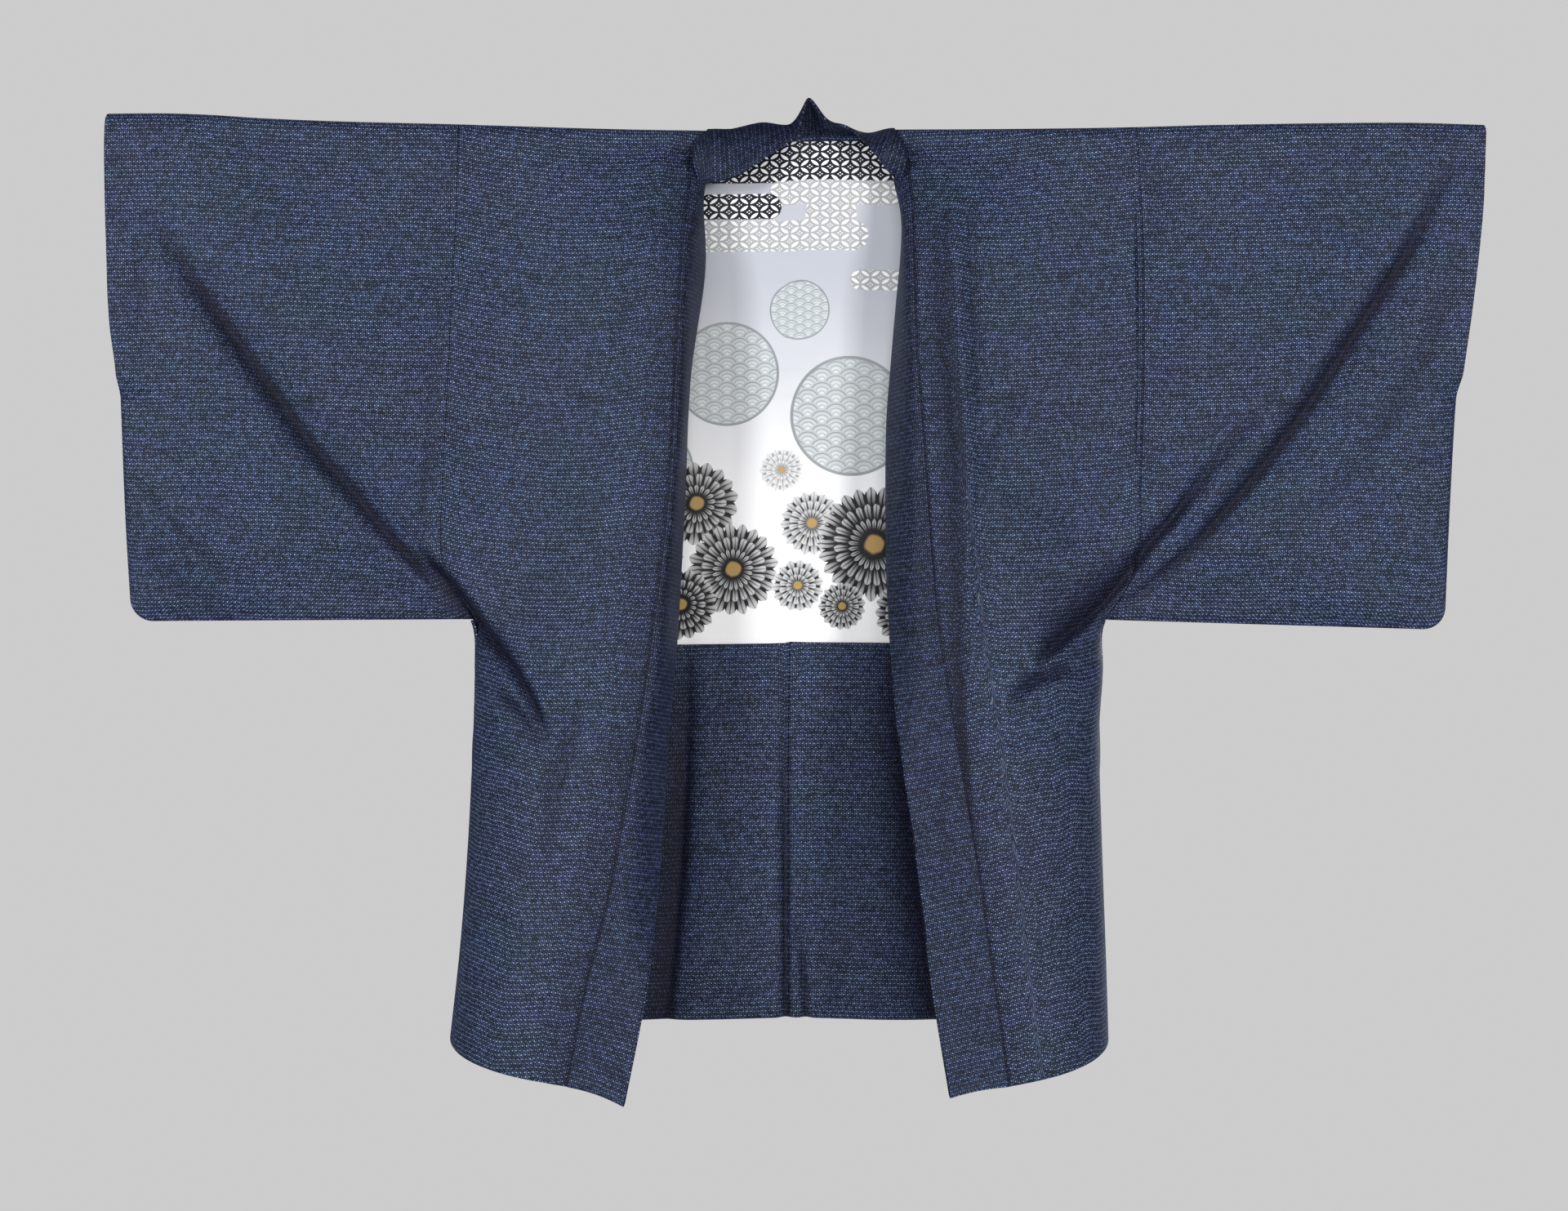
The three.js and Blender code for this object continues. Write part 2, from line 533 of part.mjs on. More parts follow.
// The collar behind the neck: u runs from the seam to the free edge, v from right to left.
function neckPoint(stations, rows, u, v) {
  const place = v * (stations.length - 1);
  const i = Math.min(Math.floor(place), stations.length - 2);
  const start = stations[i].clone().lerp(stations[i + 1], place - i);
  const column = (name) => along(rows, 'x', start.x, name);
  const turn = new THREE.Vector3(column('topX'), column('topY'), column('topZ'));
  const end = new THREE.Vector3(column('edgeX'), column('edgeY'), column('edgeZ'));
  return acrossBand({ start, turn, end }, u);
}

// The table's end rows come from the collar's sections where the two pieces meet.
function neckRows(stations) {
  const endRow = (side, station) => {
    const { turn, end } = bandSection(side, FRONT_STOPS[side].at(-FOLD_ROWS - 2));
    return {
      x: station.x,
      topX: turn.x,
      topY: turn.y,
      topZ: turn.z + 4 * SEAM_GAP,
      edgeX: end.x,
      edgeY: end.y,
      edgeZ: end.z + 4 * SEAM_GAP,
    };
  };
  return [endRow('right', stations[0]), ...NECK, endRow('left', stations.at(-1))];
}

// A point of what lies on the back's inner face: its own points, moved inwards. u runs from
// -1 at the right edge over the centre to 1 at the left.
function insideBack(u, v) {
  const off = CLOTH / 2 + LINING_GAP + LINING / 2;
  const step = 1e-3;
  const back = (du, dv) => {
    const place = THREE.MathUtils.clamp(u + du, -1, 1);
    const height = clamp01(v + dv);
    return backPoint(place < 0 ? 'right' : 'left', Math.abs(place), height);
  };
  const across = back(step, 0).sub(back(-step, 0));
  const inwards = across.cross(back(0, step).sub(back(0, -step))).normalize();
  return back(0, 0).addScaledVector(inwards, off);
}

// A closed cloth wall: the middle surface moved half its thickness to either side.
function clothWall(middle, us, vs, thickness) {
  const positions = [];
  const step = 1e-3;
  for (const half of [-thickness / 2, thickness / 2]) {
    for (const v of vs) {
      for (const u of us) {
        const alongU = middle(Math.min(u + step, us.at(-1)), v)
          .sub(middle(Math.max(u - step, us[0]), v));
        const alongV = middle(u, Math.min(v + step, vs.at(-1)))
          .sub(middle(u, Math.max(v - step, vs[0])));
        const normal = alongU.cross(alongV).normalize();
        const point = middle(u, v).addScaledVector(normal, half);
        positions.push(point.x, point.y, point.z);
      }
    }
  }
  const columns = us.length;
  const rows = vs.length;
  const vertex = (i, j, face) => (face * rows + j) * columns + i;
  const indices = [];
  const quad = (a, b, c, d) => indices.push(a, b, c, a, c, d);
  for (let j = 0; j < rows - 1; j += 1) {
    for (let i = 0; i < columns - 1; i += 1) {
      quad(vertex(i, j, 1), vertex(i + 1, j, 1), vertex(i + 1, j + 1, 1), vertex(i, j + 1, 1));
      quad(vertex(i, j, 0), vertex(i, j + 1, 0), vertex(i + 1, j + 1, 0), vertex(i + 1, j, 0));
    }
  }
  for (let i = 0; i < columns - 1; i += 1) {
    quad(vertex(i, 0, 0), vertex(i + 1, 0, 0), vertex(i + 1, 0, 1), vertex(i, 0, 1));
    const j = rows - 1;
    quad(vertex(i, j, 0), vertex(i, j, 1), vertex(i + 1, j, 1), vertex(i + 1, j, 0));
  }
  for (let j = 0; j < rows - 1; j += 1) {
    quad(vertex(0, j, 0), vertex(0, j, 1), vertex(0, j + 1, 1), vertex(0, j + 1, 0));
    const i = columns - 1;
    quad(vertex(i, j, 0), vertex(i, j + 1, 0), vertex(i, j + 1, 1), vertex(i, j, 1));
  }
  const geometry = new THREE.BufferGeometry();
  geometry.setAttribute('position', new THREE.Float32BufferAttribute(positions, 3));
  geometry.setIndex(indices);
  geometry.computeVertexNormals();
  return geometry;
}

// Rows and columns of points of the panels. A sleeve has closer columns at its round corner.
const NECK_COLUMNS = [0, 0.45, 0.8, 1]; // across half the neckline
const SHOULDER_COLUMNS = 4;
const CORNER_START = 0.94;
const SLEEVE_COLUMNS = [
  ...evenStops(8).map((share) => share * CORNER_START),
  mix(CORNER_START, 1, 0.55),
  1,
];
const FRONT_STOPS = {};
const SLEEVE_STOPS = {};
const BACK_STOPS = {};
for (const [side, sign] of Object.entries(SIDES)) {
  const topZ = shoulderZ(sign * FRONT_SIDE[side][0].out);
  FRONT_STOPS[side] = panelStops(SIDE_HEM, topZ);
  SLEEVE_STOPS[side] = panelStops(SLEEVE_BOTTOM[side].inner, topZ);
  const neck = BAND[side][1].seam / BACK_SIDE[side][0].out;
  BACK_STOPS[side] = [
    ...NECK_COLUMNS.map((share) => share * neck),
    ...evenStops(SHOULDER_COLUMNS).slice(1).map((share) => mix(neck, 1, share)),
  ];
}

const navyCloth = new THREE.MeshStandardMaterial({ color: 0x3a4a74, roughness: 0.8, metalness: 0 });
const paleSilk = new THREE.MeshStandardMaterial({ color: 0xc4c8cc, roughness: 0.45, metalness: 0 });

const haori = new THREE.Group();

function addPiece(name, geometry, material) {
  const mesh = new THREE.Mesh(geometry, material);
  mesh.name = name;
  haori.add(mesh);
}

for (const [side, sign] of Object.entries(SIDES)) {
  // Mirrored panels run the other way round, so that their faces point outwards.
  const facing = (point, us, vs, thickness) => (sign < 0
    ? clothWall(point, us, vs, thickness)
    : clothWall((u, v) => point(1 - u, v), us.map((u) => 1 - u).reverse(), vs, thickness));
  const bodyStops = FRONT_STOPS[side];
  const sleeveStops = SLEEVE_STOPS[side];
  const underarmRow = bodyStops.length - sleeveStops.length;
  addPiece(
    `front_${side}`,
    facing((u, v) => frontPoint(side, u, v), evenStops(10), bodyStops, CLOTH),
    navyCloth,
  );
  addPiece(
    `back_${side}`,
    facing((u, v) => backPoint(side, u, v), BACK_STOPS[side], bodyStops, CLOTH),
    navyCloth,
  );
  const gussetStops = seamHeights(0).slice(0, underarmRow)
    .map((z) => (z - SIDE_HEM) / (UNDERARM_ROWS[1] - SIDE_HEM));
  addPiece(
    `gusset_${side}`,
    facing((u, v) => gussetPoint(side, 1 - u, v), evenStops(3), gussetStops, CLOTH),
    navyCloth,
  );
  for (const [layer, direction] of Object.entries({ front: -1, back: 1 })) {
    addPiece(
      `sleeve_${layer}_${side}`,
      facing((u, v) => sleevePoint(side, direction, u, v), SLEEVE_COLUMNS, sleeveStops, CLOTH),
      navyCloth,
    );
  }
  const collarStops = bodyStops.slice(0, -FOLD_ROWS - 1);
  addPiece(
    `collar_${side}`,
    facing((u, v) => bandPoint(side, u, v), evenStops(4), collarStops, BAND_CLOTH),
    navyCloth,
  );
  const liningRow = ROWS_BELOW_ARM;
  const facingStops = bodyStops.slice(0, liningRow + 1);
  facingStops[0] += EDGE_CLEAR;
  facingStops[liningRow] -= EDGE_CLEAR;
  const innerStops = [...BACK_STOPS[side].slice(0, -1), 1 - 2 * EDGE_CLEAR];
  innerStops[0] = EDGE_CLEAR;
  addPiece(
    `facing_${side}`,
    facing((u, v) => insideBack(sign * u, v), innerStops, facingStops, LINING),
    navyCloth,
  );
}

const stations = neckStations();
const neckStops = evenStops(stations.length - 1);
neckStops[0] += EDGE_CLEAR;
neckStops[neckStops.length - 1] -= EDGE_CLEAR;
const rows = neckRows(stations);
addPiece(
  'collar_neck',
  clothWall(
    (u, v) => neckPoint(stations, rows, u, v),
    evenStops(5),
    neckStops,
    BAND_CLOTH,
  ),
  navyCloth,
);
const liningRows = FRONT_STOPS.right.slice(ROWS_BELOW_ARM);
liningRows[liningRows.length - 1] -= 10 * EDGE_CLEAR;
const liningColumns = [
  ...BACK_STOPS.right.slice(1, -1).map((u) => -u).reverse(),
  ...BACK_STOPS.left.slice(0, -1),
];
addPiece(
  'lining_back',
  clothWall(
    insideBack,
    [2 * EDGE_CLEAR - 1, ...liningColumns, 1 - 2 * EDGE_CLEAR],
    liningRows,
    LINING,
  ),
  paleSilk,
);

export default haori;
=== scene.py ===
# Haori: a hip-length men's jacket in dark navy figured silk, open in front, hanging by its
# shoulder line. +Z is up, the open front faces -Y, and the origin is the middle of the
# shoulder line. Cutting tables are in millimetres, as a tailor writes them, and every mesh is
# in metres. "Right" and "left" are the wearer's, so the right half lies on -X.
import math

import bpy
import numpy as np
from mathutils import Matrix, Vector


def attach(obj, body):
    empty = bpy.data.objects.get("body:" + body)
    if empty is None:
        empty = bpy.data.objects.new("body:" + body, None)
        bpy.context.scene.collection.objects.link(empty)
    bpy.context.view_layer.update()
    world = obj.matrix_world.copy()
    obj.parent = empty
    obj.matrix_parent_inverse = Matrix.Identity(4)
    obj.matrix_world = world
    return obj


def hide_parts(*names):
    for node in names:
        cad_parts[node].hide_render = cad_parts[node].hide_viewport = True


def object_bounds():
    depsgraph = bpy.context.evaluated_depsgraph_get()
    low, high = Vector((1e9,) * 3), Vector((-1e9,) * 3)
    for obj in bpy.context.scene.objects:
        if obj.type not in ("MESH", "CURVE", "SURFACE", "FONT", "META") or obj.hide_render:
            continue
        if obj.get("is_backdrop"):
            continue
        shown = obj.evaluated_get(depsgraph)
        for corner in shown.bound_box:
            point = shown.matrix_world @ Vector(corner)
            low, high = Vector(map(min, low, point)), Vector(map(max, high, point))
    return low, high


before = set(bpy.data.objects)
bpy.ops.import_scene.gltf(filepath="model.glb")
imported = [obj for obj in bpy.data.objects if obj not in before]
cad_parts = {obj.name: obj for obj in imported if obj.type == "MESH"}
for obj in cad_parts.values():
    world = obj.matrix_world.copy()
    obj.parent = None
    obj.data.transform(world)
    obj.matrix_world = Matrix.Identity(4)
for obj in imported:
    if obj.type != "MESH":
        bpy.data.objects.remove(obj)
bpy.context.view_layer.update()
MM = 0.001
SIDES = {"right": -1, "left": 1}

# ---------------------------------------------------------------------------------------------
# Camera, floor and light. The camera stands level, straight in front of the jacket. The floor
# is a pale disc far below the hem. Soft boxes light the front from both sides, the left one the
# stronger, a faint one fills in between them, and one more stands behind the jacket.
EYE = Vector((-0.0056, -2.3, -0.468))
LENS_MM = 53.57
SENSOR_MM = 36
MIDDLE = Vector((0, 0, -0.45))


def put_up(name, data):
    """A new object in the scene."""
    thing = bpy.data.objects.new(name, data)
    bpy.context.scene.collection.objects.link(thing)
    return thing


camera = put_up("camera", bpy.data.cameras.new("camera"))
camera.data.lens = LENS_MM
camera.data.sensor_width = SENSOR_MM
camera.location = EYE
camera.rotation_euler = (math.pi / 2, 0, 0)
bpy.context.scene.camera = camera
bpy.context.scene.view_settings.view_transform = "Standard"


def soft_box(name, place, size, watts, colour):
    """A square studio light at a place, turned towards the middle of the jacket."""
    light = bpy.data.lights.new(name, "AREA")
    light.size = size
    light.energy = watts
    light.color = colour
    box = put_up(name, light)
    box.location = place
    box.rotation_euler = (MIDDLE - Vector(place)).to_track_quat("-Z", "Y").to_euler()


soft_box("left_light", (-3.2, -3.8, 0.5), 1.2, 193, (0.98, 0.99, 1.0))
soft_box("right_light", (2.9, -4.0, 0.1), 1.2, 166, (1.0, 0.98, 0.97))
soft_box("front_light", (0.3, -4.0, 0.6), 1.6, 42, (1.0, 1.0, 1.0))
soft_box("back_light", (2.2, 3.8, 0.7), 1.4, 230, (1.0, 0.99, 0.97))

world = bpy.data.worlds.new("studio")
bpy.context.scene.world = world
world.use_nodes = True
air = world.node_tree
air.nodes.clear()
PAPER = (0.604, 0.604, 0.604, 1)
ROOM = (0.075, 0.072, 0.085, 1)
seen = air.nodes.new("ShaderNodeBackground")
seen.inputs["Color"].default_value = PAPER
lit = air.nodes.new("ShaderNodeBackground")
lit.inputs["Color"].default_value = ROOM
path_of_ray = air.nodes.new("ShaderNodeLightPath")
either = air.nodes.new("ShaderNodeMixShader")
out = air.nodes.new("ShaderNodeOutputWorld")
air.links.new(path_of_ray.outputs["Is Camera Ray"], either.inputs["Fac"])
air.links.new(lit.outputs[0], either.inputs[1])
air.links.new(seen.outputs[0], either.inputs[2])
air.links.new(either.outputs[0], out.inputs["Surface"])

FLOOR_DEPTH = -1.6
FLOOR_RADIUS = 2.0
FLOOR_CORNERS = 96


def new_material(name, values):
    """A material, its node tree and its shader, with the shader's values by their names."""
    material = bpy.data.materials.new(name)
    material.use_nodes = True
    shader = material.node_tree.nodes["Principled BSDF"]
    for label, value in values.items():
        shader.inputs[label].default_value = value
    return material, material.node_tree, shader


floor_mesh = bpy.data.meshes.new("floor")
rim = [
    (FLOOR_RADIUS * math.cos(a), FLOOR_RADIUS * math.sin(a), FLOOR_DEPTH)
    for a in np.linspace(0, 2 * math.pi, FLOOR_CORNERS, endpoint=False)
]
floor_mesh.from_pydata(rim, [], [list(range(len(rim)))])
floor = put_up("floor", floor_mesh)
paper, _, _ = new_material("pale_floor", {"Base Color": PAPER, "Roughness": 0.9})
floor_mesh.materials.append(paper)
floor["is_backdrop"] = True

# ---------------------------------------------------------------------------------------------
# Body lengths. Each half of the body is one straight length of silk, laid over the shoulder
# from the back hem to the front hem. The two meet in a seam down the middle of the back. The
# cloth is figured all over with a small pale dot in a dark ring.
CLOTH = 1.2
SEAM = 0.15  # half the gap at a seam
SHOULDER_RADIUS = 11
BACK_HEM = -880
SIDE_HEM = -886
BAND_HEM = -915
NECK_TOP = -1.5  # height of the back's edge at the neck, from the shoulder line
NECK_TURN = {"start": 2, "end": 24}  # beside the neck, that edge turns into the shoulder fold
LINING_EDGE = -506  # the back's lining ends at this height


def table(columns, *rows):
    """Named columns of numbers, with a row for each section of the cloth."""
    return {name: np.array(column, float) for name, column in zip(columns.split(), zip(*rows))}


SHOULDER_LINE = table(
    "x z",
    (-680, 16.5), (-617, 17), (-569, 15.4), (-520, 12.2), (-440, 9), (-340, 6.5), (-95, 0),
    (110, 1), (250, 1.8), (340, 3.4), (420, 5.6), (600, 7.8), (690, 5.5),
)

# The front's outer edge: the sleeve seam, then the gusset seam. out: distance from the centre
# plane. fore: distance in front of the shoulders. turn: degrees that the cloth faces sideways.
# round, flat: reach of the section's curve from its two ends. square: how it meets the collar.
FRONT_SIDE = {
    "right": table(
        "z out fore turn round flat square",
        (20, 324, 11, 0, 60, 60, 0),
        (-100, 327, 13, 0, 60, 60, 0.1),
        (-235, 333, 15, 0, 70, 60, 0.2),
        (-360, 339, 16, 0, 70, 70, 0.3),
        (-415, 340, 15, 4, 60, 80, 0.4),
        (-450, 330, 9, 25, 50, 85, 0.5),
        (-487, 310, 3, 62, 50, 85, 0.5),
        (-530, 309.5, 2.5, 73, 54, 83, 0.55),
        (-590, 311, 2, 84, 60, 80, 0.6),
        (-700, 315.5, 1, 90, 70, 75, 0.7),
        (-800, 323, 0.5, 90, 80, 75, 0.8),
        (-886, 332, 0.5, 90, 88, 75, 0.8),
    ),
    "left": table(
        "z out fore turn round flat square",
        (20, 339, 11, 0, 60, 60, 0),
        (-100, 345, 13, 0, 60, 60, 0.1),
        (-235, 346, 15, 0, 70, 60, 0.2),
        (-350, 343, 16, 0, 70, 70, 0.3),
        (-415, 341, 15, 4, 60, 80, 0.4),
        (-450, 330, 9, 25, 50, 80, 0.5),
        (-487, 307, 3, 62, 50, 80, 0.5),
        (-530, 308, 2.5, 73, 54, 78, 0.55),
        (-590, 304.5, 2, 84, 60, 75, 0.6),
        (-700, 306, 1, 90, 72, 65, 0.7),
        (-800, 309, 0.5, 90, 84, 60, 0.8),
        (-886, 311, 0.5, 90, 92, 60, 0.8),
    ),
}

# The back's outer edge and its middle. aft: distance behind the shoulders.
BACK_SIDE = {
    "right": table(
        "z out aft",
        (20, 324, 11), (-235, 333, 13), (-360, 339, 13), (-415, 340, 12), (-450, 330, 8),
        (-487, 307, 4), (-530, 305, 11), (-590, 303, 20), (-700, 301, 29), (-800, 301, 36),
        (-886, 303, 42),
    ),
    "left": table(
        "z out aft",
        (20, 339, 11), (-100, 345, 12), (-235, 346, 13), (-350, 343, 13), (-415, 341, 12),
        (-450, 330, 8), (-487, 304, 4), (-530, 303, 11), (-590, 298, 20), (-700, 293, 29),
        (-800, 289, 36), (-886, 286, 42),
    ),
}
BACK_CENTRE = table(
    "z aft", (20, 11), (-100, 14), (-300, 16), (-500, 22), (-700, 30), (-886, 36)
)

# The collar's seam on the fronts and its free edge, by height of the seam. bend: how far the
# band runs on along the front before it turns inwards.
BAND = {
    "right": table(
        "z seam fore edgeZ edge edgeFore bend",
        (20, 78, 11, -30, 70, 26, 20),
        (-1, 80, 11, -42, 76, 25, 22),
        (-19, 94, 12, -57, 87, 22, 24),
        (-57, 98, 30, -74, 86, 13, 18),
        (-136, 105, 55, -138, 84, 4, 12),
        (-240, 110, 66, -243, 98, 12, 12),
        (-358, 116, 76, -362, 103, 22, 12),
        (-513, 133, 90, -519, 111, 40, 14),
        (-590, 144, 98, -598, 118, 50, 14),
        (-667, 157, 105, -676, 122, 63, 18),
        (-743, 170, 112, -753, 127, 80, 22),
        (-818, 189, 120, -829, 135, 110, 26),
        (-915, 208, 130, -935, 155, 142, 28),
    ),
    "left": table(
        "z seam fore edgeZ edge edgeFore bend",
        (20, 102, 11, -30, 88, 26, 20),
        (-1, 103, 11, -44, 97, 25, 22),
        (-18, 112, 12, -60, 109, 18, 24),
        (-82, 119, 40, -90, 114, 9, 16),
        (-140, 120, 57, -146, 108, 5, 12),
        (-216, 122, 66, -220, 101, 13, 12),
        (-291, 127, 72, -296, 95, 23, 14),
        (-427, 136, 84, -432, 94, 48, 20),
        (-502, 143, 90, -508, 97, 60, 22),
        (-561, 152, 96, -570, 101, 75, 24),
        (-634, 164, 103, -645, 111, 98, 26),
        (-707, 176, 109, -718, 121, 109, 28),
        (-812, 190, 120, -824, 133, 122, 28),
        (-915, 204, 130, -927, 149, 140, 28),
    ),
}

# Creases, pushed into the cloth from the front or from the back, by their place in front view. Each
# runs down the cloth, on a smooth curve through its rows. depth: how far in, or out where it is below
# 0. shade: width of its soft left wall. bright: width of its crisp right wall, which takes the light.
# swell: how far the cloth round the crease stands out. Each crease also paints shade into the cloth's
# colour, softly over its left wall and crisply at its right.
CREASE = "x z depth shade bright swell"
FRONT_CREASES = {
    "right_sleeve_drag": table(
        CREASE,
        (-636, -76, 0, 12, 26, 0), (-606, -118, 7, 15, 34, 1), (-561, -184, 15, 20, 46, 4),
        (-518, -244, 20, 23, 60, 6), (-474, -306, 22, 22, 62, 8), (-430, -356, 20, 19, 52, 8),
        (-392, -402, 16, 14, 38, 7), (-358, -438, 11, 9, 22, 4), (-340, -462, 0, 6, 12, 0),
    ),
    "right_knot": table(
        CREASE,
        (-372, -398, 0, 6, 8, 0), (-358, -420, 9, 12, 8, 4), (-339, -440, 19, 26, 8, 7),
        (-320, -464, 24, 34, 9, 8), (-302, -486, 24, 30, 9, 8), (-284, -507, 20, 20, 9, 6),
        (-267, -528, 16, 12, 8, 5), (-252, -551, 14, 8, 8, 4), (-240, -574, 12, 7, 7, 3),
        (-230, -600, 0, 8, 10, 0),
    ),
    "right_front_pocket": table(
        CREASE,
        (-292, -552, 0, 10, 10, 0), (-276, -558, 7, 14, 9, 2), (-258, -574, 8, 16, 9, 2),
        (-244, -596, 5, 14, 10, 0), (-238, -626, 0, 12, 10, 0),
    ),
    "right_seam_crease": table(
        CREASE,
        (-341, -36, 0, 8, 10, 0), (-347, -195, 2.5, 8, 10, 0), (-352, -285, 3.5, 7, 9, 0),
        (-357, -352, 5, 6, 8, 1), (-361, -392, 4, 6, 8, 1), (-364, -412, 0, 5, 6, 0),
    ),
    "right_cuff_streak": table(
        CREASE,
        (-637, -84, 0, 12, 16, 0), (-638, -140, 3.5, 12, 16, 0), (-637, -190, 3, 12, 16, 0),
        (-634, -230, 0, 12, 16, 0),
    ),
    "right_low_crease": table(
        CREASE,
        (-660, -330, 0, 5, 8, 0), (-632, -362, 3, 5, 10, 1), (-598, -398, 4.5, 5, 12, 2),
        (-564, -434, 4, 6, 14, 1), (-528, -470, 0, 6, 12, 0),
    ),
    "right_corner_hollow": table(
        CREASE,
        (-652, -392, 0, 24, 34, 0), (-612, -436, 5, 26, 40, 0), (-570, -468, 4, 24, 34, 0),
        (-530, -486, 0, 20, 26, 0),
    ),
    "right_front_slack": table(
        CREASE,
        (-196, -528, 0, 16, 22, 0), (-206, -580, 5, 22, 32, 2), (-224, -650, 6, 26, 40, 2),
        (-232, -720, 0, 24, 30, 0),
    ),
    "right_collar_tuck": table(
        CREASE,
        (-163, -150, 0, 8, 14, 0), (-166, -190, 2.5, 8, 14, 0), (-172, -240, 0, 8, 14, 0),
    ),
    "left_sleeve_drag": table(
        CREASE,
        (664, -14, 0, 12, 20, 0), (642, -48, 6, 15, 26, 2), (607, -118, 13, 20, 34, 4),
        (574, -172, 16, 24, 38, 6), (536, -230, 18, 26, 40, 7), (500, -284, 18, 25, 40, 7),
        (459, -337, 17, 22, 36, 7), (425, -376, 14, 17, 30, 6), (388, -416, 11, 11, 22, 4),
        (352, -448, 7, 8, 16, 2), (328, -470, 0, 6, 10, 0),
    ),
    "left_second_drag": table(
        CREASE,
        (482, -244, 0, 14, 22, 0), (444, -293, 5, 13, 18, 1), (404, -342, 10, 12, 15, 3),
        (376, -380, 14, 11, 12, 4), (352, -408, 15, 16, 10, 5), (332, -436, 17, 34, 9, 7),
        (310, -462, 19, 58, 8, 9), (286, -484, 19, 62, 8, 9), (262, -502, 17, 44, 7, 7),
        (244, -518, 10, 18, 6, 4), (236, -530, 0, 6, 6, 0),
    ),
    "left_under_tuck": table(
        CREASE,
        (282, -526, 0, 6, 8, 0), (264, -530, 8, 9, 8, 3), (242, -536, 11, 11, 7, 3),
        (222, -548, 9, 12, 7, 2), (206, -564, 0, 10, 8, 0),
    ),
    "left_cuff_shade": table(
        CREASE,
        (655, -96, 0, 16, 26, 0), (646, -150, 4, 20, 28, 0), (622, -220, 5, 22, 30, 0),
        (580, -300, 4, 24, 34, 0), (520, -374, 3, 24, 34, 0), (480, -420, 0, 20, 26, 0),
    ),
    "left_collar_pleat": table(
        CREASE,
        (150, -66, 0, 10, 7, 0), (152, -126, 7, 44, 6, 5), (155, -212, 9, 54, 6, 6),
        (162, -297, 10, 54, 6, 6), (163, -354, 10, 50, 6, 6), (161, -468, 10, 36, 7, 5),
        (161, -582, 13, 26, 8, 4), (166, -660, 13, 22, 9, 4), (176, -750, 9, 18, 11, 2),
        (188, -810, 0, 12, 12, 0),
    ),
    "left_pleat_line": table(
        CREASE,
        (173, -62, 0, 4, 6, 0), (176, -120, 4, 7, 6, 1), (181, -220, 5, 8, 6, 1),
        (186, -304, 0, 5, 6, 0),
    ),
    "left_curved_crease": table(
        CREASE,
        (252, -256, 0, 4, 8, 0), (226, -270, 2.5, 4, 9, 0), (206, -294, 3, 5, 10, 0),
        (192, -328, 3, 5, 10, 0), (178, -368, 2, 5, 8, 0), (168, -404, 0, 4, 6, 0),
    ),
    "left_shoulder_dent": table(
        CREASE,
        (352, -20, 0, 6, 9, 0), (358, -50, 2.5, 7, 10, 0), (357, -84, 3, 7, 10, 0),
        (350, -120, 0, 6, 9, 0),
    ),
}
BACK_CREASES = {
    "right_back_drag": table(
        CREASE,
        (-630, -80, 0, 14, 26, 0), (-560, -186, 10, 20, 40, 3), (-470, -310, 14, 22, 46, 5),
        (-390, -404, 11, 16, 30, 4), (-330, -462, 9, 14, 28, 3), (-250, -560, 7, 16, 34, 3),
        (-190, -650, 0, 16, 30, 0),
    ),
    "left_back_drag": table(
        CREASE,
        (652, -40, 0, 14, 26, 0), (560, -200, 10, 20, 38, 3), (460, -332, 14, 20, 36, 5),
        (390, -408, 11, 15, 26, 4), (324, -468, 9, 16, 26, 3), (244, -570, 6, 18, 30, 2),
        (186, -660, 0, 16, 26, 0),
    ),
    "right_back_low": table(
        CREASE,
        (-640, -330, 0, 10, 20, 0), (-590, -390, 5, 12, 22, 1), (-530, -452, 0, 12, 20, 0),
    ),
    "left_back_low": table(
        CREASE,
        (470, -250, 0, 12, 18, 0), (410, -330, 6, 14, 20, 2), (352, -412, 0, 10, 14, 0),
    ),
    "centre_seam_fold": table(
        CREASE,
        (-4, -520, -2, 8, 6, 0), (-5, -600, -7, 9, 6, -1), (-5, -720, -12, 10, 7, -1),
        (-4, -886, -12, 10, 7, -1),
    ),
    "centre_side_pleat": table(
        CREASE,
        (10, -770, 0, 7, 5, 0), (13, -826, -8, 8, 6, 0), (17, -886, -10, 8, 6, 0),
    ),
    # The two skirt folds are wide so that their painted shade darkens the facing inside the back,
    # beside the collar's edges.
    "right_skirt_fold": table(
        CREASE,
        (-104, -430, 0, 30, 12, 0), (-103, -500, -3, 40, 14, 0), (-101, -580, -10, 76, 16, -1),
        (-106, -700, -13, 86, 18, -2), (-114, -800, -13, 86, 20, -2), (-124, -890, -13, 86, 22, -2),
    ),
    "left_skirt_fold": table(
        CREASE,
        (100, -420, 0, 30, 16, 0), (104, -500, -7, 40, 20, 0), (112, -590, -12, 56, 22, -1),
        (121, -670, -13, 56, 24, -2), (131, -750, -13, 54, 24, -2), (141, -830, -13, 52, 24, -2),
        (149, -890, -13, 50, 24, -2),
    ),
}
# Slow unevenness of hanging cloth: sums of waves. heading: the way a wave runs, from +X.
WAVE = "length heading height phase"
BODY_WAVES = table(
    WAVE,
    (310, 4, 1.3, 0.6),
    (190, -9, 0.8, 2.1),
    (118, 7, 0.5, 4.4),
    (74, -5, 0.22, 1.3),
    (420, 74, 1.2, 3.0),
    (150, 62, 0.35, 5.2),
)
SLEEVE_WAVES = table(
    WAVE,
    (300, 38, 1.6, 1.9),
    (170, 52, 0.8, 0.4),
    (104, 31, 0.45, 3.7),
    (66, 64, 0.2, 2.2),
    (360, -20, 1.2, 5.0),
    (140, 8, 0.35, 1.1),
)


